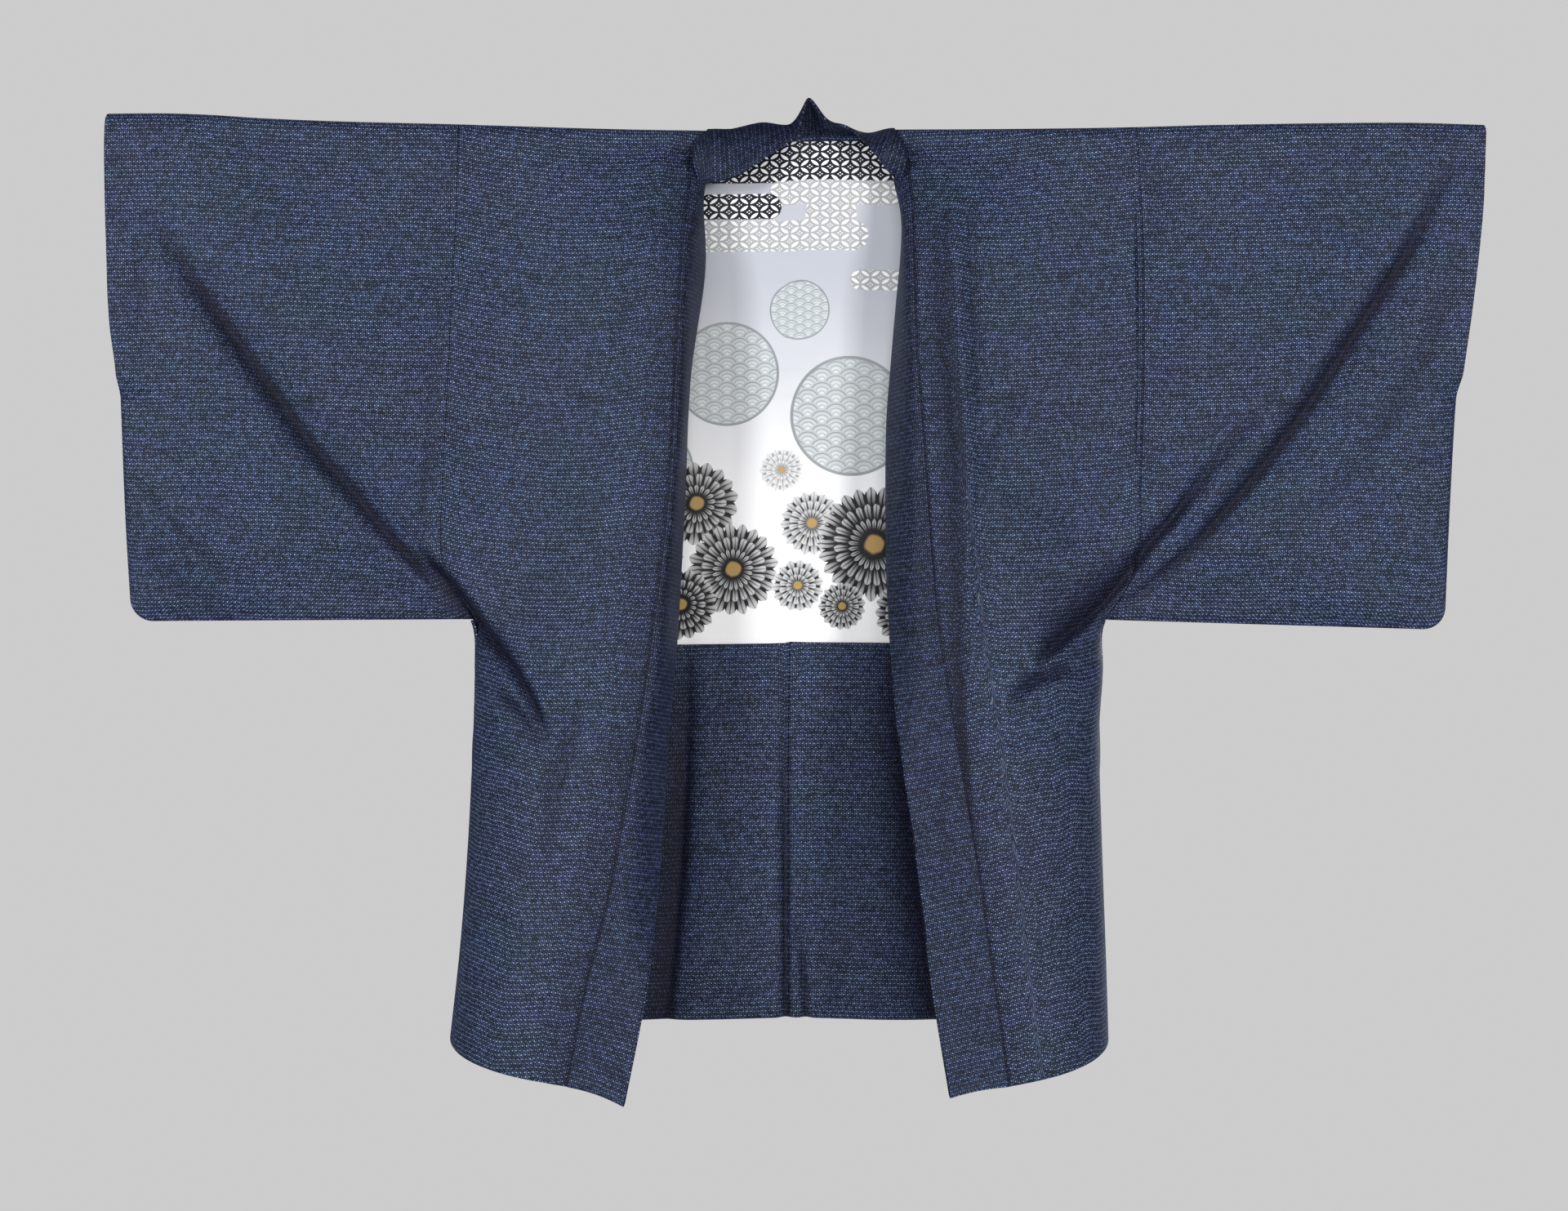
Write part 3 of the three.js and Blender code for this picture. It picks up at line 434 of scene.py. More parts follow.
def between(rows, key, place, column):
    """A column read at places between its rows, on a smooth curve through them."""
    keys, values = rows[key], rows[column]
    if keys[0] > keys[-1]:
        keys, values = keys[::-1], values[::-1]
    last = len(keys) - 1
    i = np.arange(last + 1)
    before, after = np.maximum(i - 1, 0), np.minimum(i + 1, last)
    slope = (values[after] - values[before]) / (keys[after] - keys[before])
    place = np.clip(place, keys[0], keys[-1])
    i = np.clip(np.searchsorted(keys, place, side="right") - 1, 0, last - 1)
    span = keys[i + 1] - keys[i]
    t = (place - keys[i]) / span
    rest = 1 - t
    return (
        values[i] * (1 + 2 * t) * rest**2
        + values[i + 1] * t**2 * (3 - 2 * t)
        + span * slope[i] * t * rest**2
        - span * slope[i + 1] * t**2 * rest
    )


def mix(a, b, t):
    return a + (b - a) * t


def smooth(low, high, value):
    t = np.clip((value - low) / (high - low), 0, 1)
    return t * t * (3 - 2 * t)


def bezier(p0, p1, p2, p3, t):
    rest = 1 - t
    return p0 * rest**3 + 3 * p1 * rest**2 * t + 3 * p2 * rest * t**2 + p3 * t**3


def shoulder_z(x):
    return between(SHOULDER_LINE, "x", x, "z") - CLOTH / 2


def armhole_top(side):
    """Height of the shoulder fold where the sleeve is sewn on."""
    return shoulder_z(SIDES[side] * FRONT_SIDE[side]["out"][0])


def neck_corner(side):
    """How far out on the shoulder fold the collar is sewn on."""
    return BAND[side]["seam"][1]


def height_on_panel(v, hem, top):
    """Height v of a panel, from 0 at its hem to 1 on the shoulder fold, as its z, how much it
    still hangs clear of the fold (1 to 0), and the share gone round the fold."""
    straight = top - SHOULDER_RADIUS - hem
    quarter = math.pi / 2 * SHOULDER_RADIUS
    way = v * (straight + quarter)
    angle = np.maximum(way - straight, 0) / SHOULDER_RADIUS
    z = np.where(angle > 0, top - SHOULDER_RADIUS * (1 - np.sin(angle)), hem + way)
    return z, np.cos(angle), angle / (math.pi / 2)


def place_on_panel(z, hem, top):
    """The height v of a panel at which it reaches z."""
    quarter = math.pi / 2 * SHOULDER_RADIUS
    return (z - hem) / (top - SHOULDER_RADIUS - hem + quarter)


CREASE_STEPS = 120
CREASE_ROUND = 2.2  # how round the bottom of a crease is
CREASE_REACH = 2.6  # beyond this many widths of a crease's wall, it isn't felt
SLOPE = {"reach": 1.25, "share": 0.62}  # the wall's long slope, in widths and shares of depth
CORE = {"reach": 0.55, "share": 0.12, "sharpness": 1.6}  # and its sharp middle
SWELL_REACH = 2.0
# Painted shade in a crease's colour: a crease this deep gets it fully, and the shares below give its
# reach over the two walls.
DEEP = 13  # a crease this deep is fully in its own shade
SOFT_SHADE = 0.42  # reach of that tone on the shaded wall, as a share of the wall
CRISP_SHADE = {"share": 0.75, "most": 7.0}  # and its reach on the other wall


def crease_depth(creases, x, z):
    """How far a set of creases moves the cloth inwards, at places of the front view, and the painted
    shade that each place gets from them, from 0 to 1, or to -1 in one pushed out from behind."""
    depth = np.zeros_like(x)
    tone = np.zeros_like(x)
    for crease in creases.values():
        row = np.arange(len(crease["x"]))
        walk = np.linspace(0, row[-1], CREASE_STEPS)
        path = {
            name: between({"row": row, name: column}, "row", walk, name)
            for name, column in crease.items()
        }
        reach = CREASE_REACH * max(crease["shade"].max(), crease["bright"].max())
        near = (
            (x > path["x"].min() - reach)
            & (x < path["x"].max() + reach)
            & (z > path["z"].min() - reach)
            & (z < path["z"].max() + reach)
        )
        if not near.any():
            continue
        away_x = x[near][:, None] - path["x"]
        away_z = z[near][:, None] - path["z"]
        step = np.argmin(away_x**2 + away_z**2, axis=1)
        one = np.arange(len(step))
        away_x, away_z = away_x[one, step], away_z[one, step]
        run_x, run_z = np.gradient(path["x"])[step], np.gradient(path["z"])[step]
        shaded = run_x * away_z - run_z * away_x < 0
        wall = np.where(shaded, path["shade"][step], path["bright"][step])
        off = np.sqrt(away_x**2 + away_z**2 + CREASE_ROUND**2) - CREASE_ROUND
        slope = np.clip(1 - off / (SLOPE["reach"] * wall), 0, 1) ** 2
        core = np.clip(1 - off / (CORE["reach"] * wall), 0, 1) ** CORE["sharpness"]
        trough = path["depth"][step] * (SLOPE["share"] * slope + CORE["share"] * core)
        swell = path["swell"][step] * np.exp(-((off / (SWELL_REACH * wall)) ** 2))
        depth[near] += trough - swell
        crisp = np.minimum(CRISP_SHADE["share"] * wall, CRISP_SHADE["most"])
        soft_end = np.exp(-((off / (SOFT_SHADE * wall)) ** 2))
        crisp_end = np.exp(-((off / crisp) ** 4))
        deep = np.clip(path["depth"][step] / DEEP, -1, 1) * np.where(shaded, soft_end, crisp_end)
        tone[near] = np.where(np.abs(deep) > np.abs(tone[near]), deep, tone[near])
    return depth, tone


def waves(rows, x, z):
    """The height of a table's waves at places of the front view."""
    total = np.zeros_like(x)
    for length, heading, height, phase in zip(*(rows[name] for name in WAVE.split())):
        a = math.radians(heading)
        total += height * np.sin(2 * math.pi * (x * math.cos(a) + z * math.sin(a)) / length + phase)
    return total


PUCKER = table("length height", (23, 0.35), (14, 0.25), (9, 0.12))
PUCKER_REACH = 14
# Painted shade: how far the cloth's colour darkens towards the collar, and how dark the collar's seam
# line is, and from which share of a front's width each begins.
COLLAR_SHADE = {"right": 0.42, "left": 0.2, "from": 0.72, "growth": 1.5}
COLLAR_SEAM = 0.95
COLLAR_SEAM_FROM = 0.988
# Creases and waves die out beside the seams: over these shares of the width and these heights.
COLLAR_FLAT = 0.86
GUSSET_FLAT = 0.06
GUSSET_SEWN = (-505, -545)
BACK_FLAT = {"side": 0.9, "top": (-60, -200)}
FRONT_WIDTH = 240
BACK_WIDTH = 300
COLLAR_GATHER = 0.8
BACK_SHIFT = {"waves": 400, "gathers": 50}  # so that the back doesn't repeat the front


def puckers(along_seam, from_seam):
    """Small gathers beside a seam: their height, which dies out away from it."""
    total = sum(
        height * np.sin(2 * math.pi * along_seam / length + 3 * math.sin(length))
        for length, height in zip(PUCKER["length"], PUCKER["height"])
    )
    return total * np.exp(-((from_seam / PUCKER_REACH) ** 2))


def front_section(side, u, v):
    """A front from its outer edge (u = 0) to the collar's seam (u = 1)."""
    rows, band, sign = FRONT_SIDE[side], BAND[side], SIDES[side]
    outer, outer_hang, _ = height_on_panel(v, SIDE_HEM, armhole_top(side))
    inner, inner_hang, _ = height_on_panel(v, BAND_HEM, shoulder_z(sign * band["seam"][0]))
    turn = np.radians(between(rows, "z", outer, "turn"))
    start_out = between(rows, "z", outer, "out") - SEAM * np.cos(turn)
    start_fore = between(rows, "z", outer, "fore") + SEAM * np.sin(turn)
    end_out = between(band, "z", inner, "seam") + SEAM
    end_fore = between(band, "z", inner, "fore")
    reach = between(rows, "z", outer, "round")
    near_out = start_out - reach * np.cos(turn)
    near_fore = start_fore + reach * np.sin(turn)
    away = np.hypot(near_out - end_out, near_fore - end_fore)
    square = between(rows, "z", outer, "square")
    flat = between(rows, "z", outer, "flat")
    far_out = end_out + flat * mix((near_out - end_out) / away, 1, square)
    far_fore = end_fore + flat * mix((near_fore - end_fore) / away, 0, square)
    hang = mix(outer_hang, inner_hang, u)
    out = bezier(start_out, near_out, far_out, end_out, u)
    fore = bezier(start_fore, near_fore, far_fore, end_fore, u)
    return sign * out, -fore * hang, mix(outer, inner, u), hang


def front_points(side, u, v):
    """A front with its creases, and for each place the painted shade of its creases and beside the
    collar, with the collar's seam line.
    """
    x, y, z, hang = front_section(side, u, v)
    press, tone = crease_depth(FRONT_CREASES, x, z)
    press += waves(BODY_WAVES, x, z)
    press = press * mix(1, smooth(0, GUSSET_FLAT, u), smooth(*GUSSET_SEWN, z))
    gather = puckers(z, (1 - u) * FRONT_WIDTH) * COLLAR_GATHER + puckers(z, u * FRONT_WIDTH)
    y = y + hang * (press * smooth(1, COLLAR_FLAT, u) + gather)
    # Painted shade towards the collar, then the dark seam line.
    towards_collar = smooth(COLLAR_SHADE["from"], 1, u) ** COLLAR_SHADE["growth"]
    tone = np.maximum(tone, COLLAR_SHADE[side] * towards_collar)
    tone = np.maximum(tone, COLLAR_SEAM * smooth(COLLAR_SEAM_FROM, 1, u))
    return np.stack([x, np.minimum(y, 0), z], -1), tone


def back_points(side, u, v):
    """A back half from the centre seam (u = 0) to its outer edge (u = 1)."""
    rows, sign = BACK_SIDE[side], SIDES[side]
    straight_x = sign * u * rows["out"][0]
    z, hang, over = height_on_panel(v, mix(BACK_HEM, SIDE_HEM, u), shoulder_z(straight_x))
    side_out = between(rows, "z", z, "out") - SEAM
    out = mix(SEAM, side_out, u)
    aft = mix(between(BACK_CENTRE, "z", z, "aft"), between(rows, "z", z, "aft"), u * u)
    neck = neck_corner(side)
    shoulder = smooth(neck - NECK_TURN["end"], neck - NECK_TURN["start"], out)
    standing = shoulder_z(straight_x) - SHOULDER_RADIUS + (SHOULDER_RADIUS + NECK_TOP) * over
    z = np.where(over > 0, mix(standing, z, shoulder), z)
    x = sign * out
    fade = smooth(1, BACK_FLAT["side"], u) * smooth(*BACK_FLAT["top"], z)
    press, tone = crease_depth(BACK_CREASES, x, z)
    press -= waves(BODY_WAVES, x + BACK_SHIFT["waves"], z)
    gather = puckers(z + BACK_SHIFT["gathers"], u * BACK_WIDTH)
    y = aft * mix(1, hang, shoulder) - hang * (press * fade - gather)
    return np.stack([x, np.maximum(y, 0), z], -1), tone


def normals_of(points):
    """Outward normals of a grid of points, by its rows and columns."""
    normal = np.cross(np.gradient(points, axis=1), np.gradient(points, axis=0))
    return normal / np.maximum(np.linalg.norm(normal, axis=-1, keepdims=True), 1e-9)


def run_along(points, axis):
    """The length of cloth from a grid's first row or column to each of its points."""
    step = np.linalg.norm(np.diff(points, axis=axis), axis=-1)
    return np.concatenate([np.zeros_like(np.take(step, [0], axis)), np.cumsum(step, axis)], axis)


EDGE_ROUND = 0.9  # how far a cut edge bulges, as a share of half the thickness


class Cloth:
    """A piece of cloth in the making: grids of points that may share rows and columns."""

    def __init__(self):
        self.points, self.uv, self.tone, self.quads, self.count = [], [], [], [], 0

    def lay(self, points, across, down, tone=0):
        """Adds a grid of points with its place in the cloth, and returns its numbers."""
        rows, columns = points.shape[:2]
        self.points.append(points.reshape(-1, 3))
        self.tone.append(np.broadcast_to(tone, (rows, columns)).ravel())
        self.uv.append(np.stack([across, down], -1).reshape(-1, 2))
        numbers = self.count + np.arange(rows * columns).reshape(rows, columns)
        self.count += rows * columns
        return numbers

    def join(self, numbers):
        """Fills a grid of numbered points with cloth."""
        corners = numbers[:-1, :-1], numbers[:-1, 1:], numbers[1:, 1:], numbers[1:, :-1]
        self.quads.append(np.stack(corners, -1).reshape(-1, 4))

    def finish(self, name, thickness, material, turned=False):
        """Gives the cloth its thickness and rounded edges, and makes it an object."""
        points, uv = np.concatenate(self.points), np.concatenate(self.uv)
        quads = np.concatenate(self.quads)
        if turned:
            quads = quads[:, ::-1]
        used, quads = np.unique(quads, return_inverse=True)
        quads = quads.reshape(-1, 4)
        points, uv, tone = points[used], uv[used], np.concatenate(self.tone)[used]
        corner = points[quads]
        face_normal = np.cross(corner[:, 2] - corner[:, 0], corner[:, 3] - corner[:, 1])
        normal = np.zeros_like(points)
        for k in range(4):
            np.add.at(normal, quads[:, k], face_normal)
        normal /= np.maximum(np.linalg.norm(normal, axis=1, keepdims=True), 1e-9)
        edges = np.concatenate([quads[:, [k, (k + 1) % 4]] for k in range(4)])
        key = edges.min(1) * len(points) + edges.max(1)
        _, first, uses = np.unique(key, return_index=True, return_counts=True)
        border = edges[first[uses == 1]]
        sideways = np.zeros_like(points)
        away = np.cross(points[border[:, 1]] - points[border[:, 0]], normal[border[:, 0]])
        for k in range(2):
            np.add.at(sideways, border[:, k], away)
        ends = np.unique(border)
        length = np.linalg.norm(sideways[ends], axis=1, keepdims=True)
        sideways[ends] /= np.maximum(length, 1e-9)
        n, half = len(points), thickness / 2
        middle = np.full(n, -1)
        middle[ends] = 2 * n + np.arange(len(ends))
        vertices = np.concatenate(
            [
                points + normal * half,
                points - normal * half,
                points[ends] + sideways[ends] * half * EDGE_ROUND,
            ]
        )
        a, b = border[:, 0], border[:, 1]
        faces = np.concatenate(
            [
                quads,
                quads[:, ::-1] + n,
                np.stack([b, a, middle[a], middle[b]], -1),
                np.stack([middle[b], middle[a], a + n, b + n], -1),
            ]
        )
        uvs = np.concatenate([uv, uv, uv[ends]])
        piece = mesh_object(name, vertices * MM, faces, uvs * MM, material)
        # The painted shade and seam lines: the inner face isn't darkened, and the edge half as much as
        # the outer face.
        shade_attribute = piece.data.attributes.new("painted_shade_and_seams", "FLOAT", "POINT")
        shade_attribute.data.foreach_set("value", np.concatenate([tone, tone * 0, tone[ends] / 2]))
        return piece


def mesh_object(name, vertices, faces, uvs, material):
    """A smooth mesh at the origin, with one UV map in metres of cloth."""
    mesh = bpy.data.meshes.new(name)
    mesh.from_pydata(vertices.tolist(), [], faces.tolist())
    mesh.uv_layers.new(name="cloth")
    mesh.uv_layers["cloth"].data.foreach_set("uv", uvs[faces.ravel()].astype(np.float32).ravel())
    mesh.polygons.foreach_set("use_smooth", np.ones(len(faces), bool))
    mesh.materials.append(material)
    return put_up(name, mesh)


# Columns of cloth turned in under a seam: their reach under the neighbour, and their drop.
TUCK = np.array([[5.0, 2.2], [1.2, 2.0], [0.3, 0.9]])


def tucked(points, sign):
    """Three columns that carry a grid's first column under the piece it is sewn to."""
    outwards = points[:, 0] - points[:, 1]
    outwards /= np.linalg.norm(outwards, axis=-1, keepdims=True)
    normal = normals_of(points)[:, 0] * -sign
    return np.stack([points[:, 0] + outwards * reach - normal * drop for reach, drop in TUCK], 1)


def feed(tree, slot, value):
    """Leads a wire or a socket into a slot, or sets the slot to plain numbers."""
    if isinstance(value, Wire):
        value = value.socket
    if isinstance(value, bpy.types.NodeSocket):
        tree.links.new(value, slot)
    else:
        slot.default_value = (*value, 1) if slot.type == "RGBA" else value


class Wire:
    """A number in a node tree, so that a pattern is written as plain arithmetic."""

    def __init__(self, tree, socket):
        self.tree, self.socket = tree, socket

    def reckon(self, operation, *values):
        node = self.tree.nodes.new("ShaderNodeMath")
        node.operation = operation
        for slot, value in zip(node.inputs, values):
            feed(self.tree, slot, value)
        return Wire(self.tree, node.outputs[0])

    def __add__(self, other):
        return self.reckon("ADD", self, other)

    def __sub__(self, other):
        return self.reckon("SUBTRACT", self, other)

    def __rsub__(self, other):
        return self.reckon("SUBTRACT", other, self)

    def __mul__(self, other):
        return self.reckon("MULTIPLY", self, other)

    def __truediv__(self, other):
        return self.reckon("DIVIDE", self, other)

    __radd__ = __add__
    __rmul__ = __mul__

    def floor(self):
        return self.reckon("FLOOR", self)

    def part(self):
        return self.reckon("FRACT", self)

    def size(self):
        return self.reckon("ABSOLUTE", self)

    def odd(self):
        return self.reckon("FLOORED_MODULO", self, 2.0)

    def least(self, other):
        return self.reckon("MINIMUM", self, other)

    def most(self, other):
        return self.reckon("MAXIMUM", self, other)

    def over(self, other):
        return self.reckon("GREATER_THAN", self, other)

    def from_point(self, other):
        """The distance of (self, other) from zero."""
        return self.reckon("SQRT", self * self + other * other)

    def fade(self, low, high):
        """A soft step: 0 at low, 1 at high."""
        node = self.tree.nodes.new("ShaderNodeMapRange")
        node.interpolation_type = "SMOOTHSTEP"
        for slot, value in zip(node.inputs, (self, low, high)):
            feed(self.tree, slot, value)
        return Wire(self.tree, node.outputs[0])


def texture(tree, kind, across, down):
    """A texture node of one kind, read at a place given by two wires."""
    place = tree.nodes.new("ShaderNodeCombineXYZ")
    for slot, value in zip(place.inputs, (across, down)):
        feed(tree, slot, value)
    node = tree.nodes.new(kind)
    tree.links.new(place.outputs[0], node.inputs["Vector"])
    return node


def noise(tree, across, down, pace, detail=2.0, roughness=0.5):
    """Soft noise from 0 to 1. Its pace is how fast it changes, across and down."""
    node = texture(tree, "ShaderNodeTexNoise", across * pace[0], down * pace[1])
    node.inputs["Scale"].default_value = 1.0
    node.inputs["Detail"].default_value = detail
    node.inputs["Roughness"].default_value = roughness
    return Wire(tree, node.outputs["Fac"])


def chance(tree, across, down):
    """A number from 0 to 1 for each pair of whole numbers, as if thrown."""
    node = texture(tree, "ShaderNodeTexWhiteNoise", across, down)
    node.noise_dimensions = "2D"
    return Wire(tree, node.outputs["Value"])


def blend_colours(tree, share, first, second, how="MIX"):
    """One colour over another by a share. A colour is a socket or three numbers."""
    node = tree.nodes.new("ShaderNodeMix")
    node.data_type = "RGBA"
    node.blend_type = how
    for name, kind, value in (("Factor", "VALUE", share), ("A", "RGBA", first), ("B", "RGBA", second)):
        slot = next(s for s in node.inputs if s.name == name and s.type == kind)
        feed(tree, slot, value)
    return next(s for s in node.outputs if s.type == "RGBA")


def new_group(name, inputs, outputs):
    """A shader node group, with its tree, its inputs as wires and its output node."""
    group = bpy.data.node_groups.new(name, "ShaderNodeTree")
    for label, kind, value in inputs:
        socket = group.interface.new_socket(label, in_out="INPUT", socket_type=kind)
        socket.default_value = value
    for label, kind in outputs:
        group.interface.new_socket(label, in_out="OUTPUT", socket_type=kind)
    start = group.nodes.new("NodeGroupInput")
    wires = {label: Wire(group, start.outputs[label]) for label, _, _ in inputs}
    return group, wires, group.nodes.new("NodeGroupOutput")


def cloth_places(tree):
    """The place in the cloth, in metres across and along it."""
    uv = tree.nodes.new("ShaderNodeUVMap")
    uv.uv_map = "cloth"
    split = tree.nodes.new("ShaderNodeSeparateXYZ")
    tree.links.new(uv.outputs[0], split.inputs[0])
    return Wire(tree, split.outputs[0]), Wire(tree, split.outputs[1])


def bumps(tree, shader, height, strength, distance):
    """Lets a height stand out on a shader's surface."""
    bump = tree.nodes.new("ShaderNodeBump")
    bump.inputs["Strength"].default_value = strength
    bump.inputs["Distance"].default_value = distance
    feed(tree, bump.inputs["Height"], height)
    tree.links.new(bump.outputs[0], shader.inputs["Normal"])


# The figured weave: in each row pale dots and upright bars take turns, and the next row is shifted by
# half, so that every dot sits in a dark ring. The ground varies from thread to thread. Its colour is
# then darkened by one more input, which carries painted shade in the creases and round the collar, and
# the dark lines of the seams. The group puts out its colour and the height of its threads.
FIGURE_ACROSS = 0.00374
FIGURE_ALONG = 0.00413
NAVY = {"Dark": (0.002, 0.004, 0.019), "Bar": (0.052, 0.081, 0.162), "Dot": (0.24, 0.30, 0.41)}
# Painted shade: the share of the colour that is left at the bottom of the deepest fold, and on a seam
# line.
FOLD_TONE = (0.20, 0.17, 0.25)  # what a deep fold leaves of the colour
# The weave's unevenness: how fast each kind changes, across the cloth and along it.
WANDER = (90.0, 90.0)
THREAD = (30.0, 7.3)
SLUB = (8.0, 160.0)
HUE = (11.0, 38.0)
CAST = (3.0, 9.0)
CAST_SHIFT = 7.0
HUE_COLOURS = ((0.98, 1.03, 0.93), (1.05, 0.98, 1.08))
CAST_COLOURS = ((0.98, 1.02, 1.02), (1.04, 0.99, 1.0))
# And how much light the dyed threads keep: at least, by thread, by slub and by chance.
KEPT = {"least": 0.22, "thread": 0.16, "slub": 0.18, "chance": 1.28}
# The figure's edges, from full to none, in shares of its repeat.
DOT_EDGE = (0.09, 0.22)
BAR_SIDE = (0.36, 0.43)
BAR_END = (0.38, 0.48)
ROW_LINE = (0.39, 0.45)
ROW_LINE_TONE = 0.52
NUMBER, COLOUR = "NodeSocketFloat", "NodeSocketColor"
weave, wire, weave_out = new_group(
    "figured_weave",
    [
        ("Across", NUMBER, 0.0),
        ("Along", NUMBER, 0.0),
        ("Shade_And_Seams", NUMBER, 0.0),
        *((label, COLOUR, (*colour, 1)) for label, colour in NAVY.items()),
    ],
    [("Colour", COLOUR), ("Height", NUMBER)],
)
across, along_warp = wire["Across"], wire["Along"]
wander = noise(weave, across, along_warp, WANDER) - 0.5
row = along_warp / FIGURE_ALONG + wander * 0.5
column = across / FIGURE_ACROSS + wander * 0.3 + row.floor().odd() * 0.5
in_x = column.part() - 0.5
in_y = row.part() - 0.5
dot = 1.0 - in_x.from_point(in_y).fade(*DOT_EDGE)
bar = in_x.size().fade(*BAR_SIDE) * (1.0 - in_y.size().fade(*BAR_END))
between_rows = in_y.size().fade(*ROW_LINE) * ROW_LINE_TONE
thread = noise(weave, across, row.floor(), THREAD, roughness=0.6)
slub = noise(weave, across, along_warp, SLUB, roughness=0.6)
ground = blend_colours(weave, bar.most(between_rows), wire["Dark"], wire["Bar"])
ground = blend_colours(weave, dot, ground, wire["Dot"])
knot = chance(weave, (column * 2.0).floor(), (row * 2.0).floor())
kept = thread.fade(0.25, 0.75) * KEPT["thread"] + slub.fade(0.3, 0.7) * KEPT["slub"]
kept = kept + KEPT["least"] + knot * knot * KEPT["chance"]
kept_colour = weave.nodes.new("ShaderNodeCombineColor")
for slot in kept_colour.inputs:
    feed(weave, slot, kept)
ground = blend_colours(weave, 1.0, ground, kept_colour.outputs[0], "MULTIPLY")
hue = noise(weave, across, along_warp, HUE, detail=1.0)
cast = noise(weave, across + CAST_SHIFT / CAST[0], along_warp, CAST, detail=1.0)
# The colour is multiplied by its random hue and cast, and last by the painted shade of folds and
# collar, with the seam lines.
for share, colours in (
    (hue.fade(0.25, 0.75), HUE_COLOURS),
    (cast.fade(0.35, 0.65), CAST_COLOURS),
    (wire["Shade_And_Seams"], ((1.0, 1.0, 1.0), FOLD_TONE)),
):
    ground = blend_colours(weave, 1.0, ground, blend_colours(weave, share, *colours), "MULTIPLY")
feed(weave, weave_out.inputs["Colour"], ground)
feed(weave, weave_out.inputs["Height"], dot + bar * 0.7 + thread * 0.6)


def navy_silk(name, colours, roughness):
    """The navy figured silk in the colours given; the collar band's colours are a darker copy, painted
    shade.
    """
    sheen = {"Sheen Weight": 0.03, "Sheen Roughness": 0.5, "Sheen Tint": (0.5, 0.6, 1.0, 1)}
    material, tree, shader = new_material(
        name, {"Roughness": roughness, "Specular IOR Level": 0.14, **sheen}
    )
    group = tree.nodes.new("ShaderNodeGroup")
    group.node_tree = weave
    painted_shade_and_seams = tree.nodes.new("ShaderNodeAttribute")
    painted_shade_and_seams.attribute_name = "painted_shade_and_seams"
    place_across, place_along = cloth_places(tree)
    for label, value in (
        ("Across", place_across),
        ("Along", place_along),
        ("Shade_And_Seams", painted_shade_and_seams.outputs["Fac"]),
        *colours.items(),
    ):
        feed(tree, group.inputs[label], value)
    tree.links.new(group.outputs["Colour"], shader.inputs["Base Color"])
    bumps(tree, shader, group.outputs["Height"], strength=0.3, distance=0.00025)
    return material


navy = navy_silk("navy_silk", NAVY, 0.62)

NECK_COLUMNS = 26
SHOULDER_COLUMNS = 70
BODY_ROWS = 256
FOLD_ROWS = 6
FINE_STEPS = 400
MEET_SHARE = 0.03  # the front's rows bend to meet the back's over this share of the height


def body_heights(top):
    """Rows of a body length from the hem to the shoulder fold, closer round the fold."""
    fold = place_on_panel(top - SHOULDER_RADIUS, SIDE_HEM, top)
    straight = np.linspace(0, fold, BODY_ROWS + 1)
    return np.concatenate([straight, np.linspace(fold, 1, FOLD_ROWS + 1)[1:]])


for side, sign in SIDES.items():
    length = Cloth()
    heights = body_heights(armhole_top(side))[:, None]
    neck = neck_corner(side) / BACK_SIDE[side]["out"][0]
    columns = np.concatenate(
        [
            np.linspace(0, neck, NECK_COLUMNS + 1)[:-1],
            np.linspace(neck, 1, SHOULDER_COLUMNS + 1),
        ]
    )
    back, back_tone = back_points(side, columns[None, :], heights)
    fine = np.linspace(0, 1, FINE_STEPS)
    fold_x, _, _, _ = front_section(side, fine[None, :], np.ones((1, 1)))
    order = np.argsort(fold_x[0])
    front_columns = np.interp(back[-1, NECK_COLUMNS:, 0], fold_x[0][order], fine[order])
    front, front_tone = front_points(side, front_columns[None, :], heights)
    meet = smooth(1 - MEET_SHARE, 1, heights)[..., None]
    front += (back[-1:, NECK_COLUMNS:] - front[-1:]) * meet
    front, front_tone = front[::-1], front_tone[::-1]
    back_across = run_along(back[:, ::-1], 1)[:, ::-1]
    back_down = run_along(back, 0)
    back_down -= back_down[-1, NECK_COLUMNS]
    # The back's outside carries the painted shade of its inward creases only.
    numbers_back = length.lay(back, back_across, back_down, np.maximum(back_tone, 0))
    front_across = run_along(front[:, ::-1], 1)[:, ::-1]
    front_down = run_along(front, 0) + back_down[-1:, NECK_COLUMNS:]
    numbers_front = length.lay(front[1:], front_across[1:], front_down[1:], front_tone[1:])
    length.join(numbers_back)
    length.join(np.concatenate([numbers_back[-1:, NECK_COLUMNS:], numbers_front]))
    under = tucked(front[1:], sign)
    under_across = front_across[1:, :1] + TUCK[:, 0]
    under_down = np.repeat(front_down[1:, :1], len(TUCK), 1)
    numbers_under = length.lay(under, under_across, under_down)
    length.join(np.concatenate([numbers_under, numbers_front[:, :1]], 1))
    piece = length.finish(f"body_{side}", CLOTH, navy, turned=sign > 0)
    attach(piece, "root")
    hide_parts(f"front_{side}", f"back_{side}")

# ---------------------------------------------------------------------------------------------
# Gussets. A long narrow trapezium of the same silk fills each side from the underarm to the
# hem, sewn to the back and to the front, so that the skirt can spread.
GUSSET_TOP = -483
UNDERLAP = 2.0  # how far its front edge reaches under the front
GUSSET_WIDTH = 60
GUSSET_ROUND = 0.5
GUSSET_SLACK = {"height": 1.6, "length": 130, "from": 0.1}  # slow waves down the gusset
GUSSET_COLUMNS = 18
GUSSET_ROWS = 96


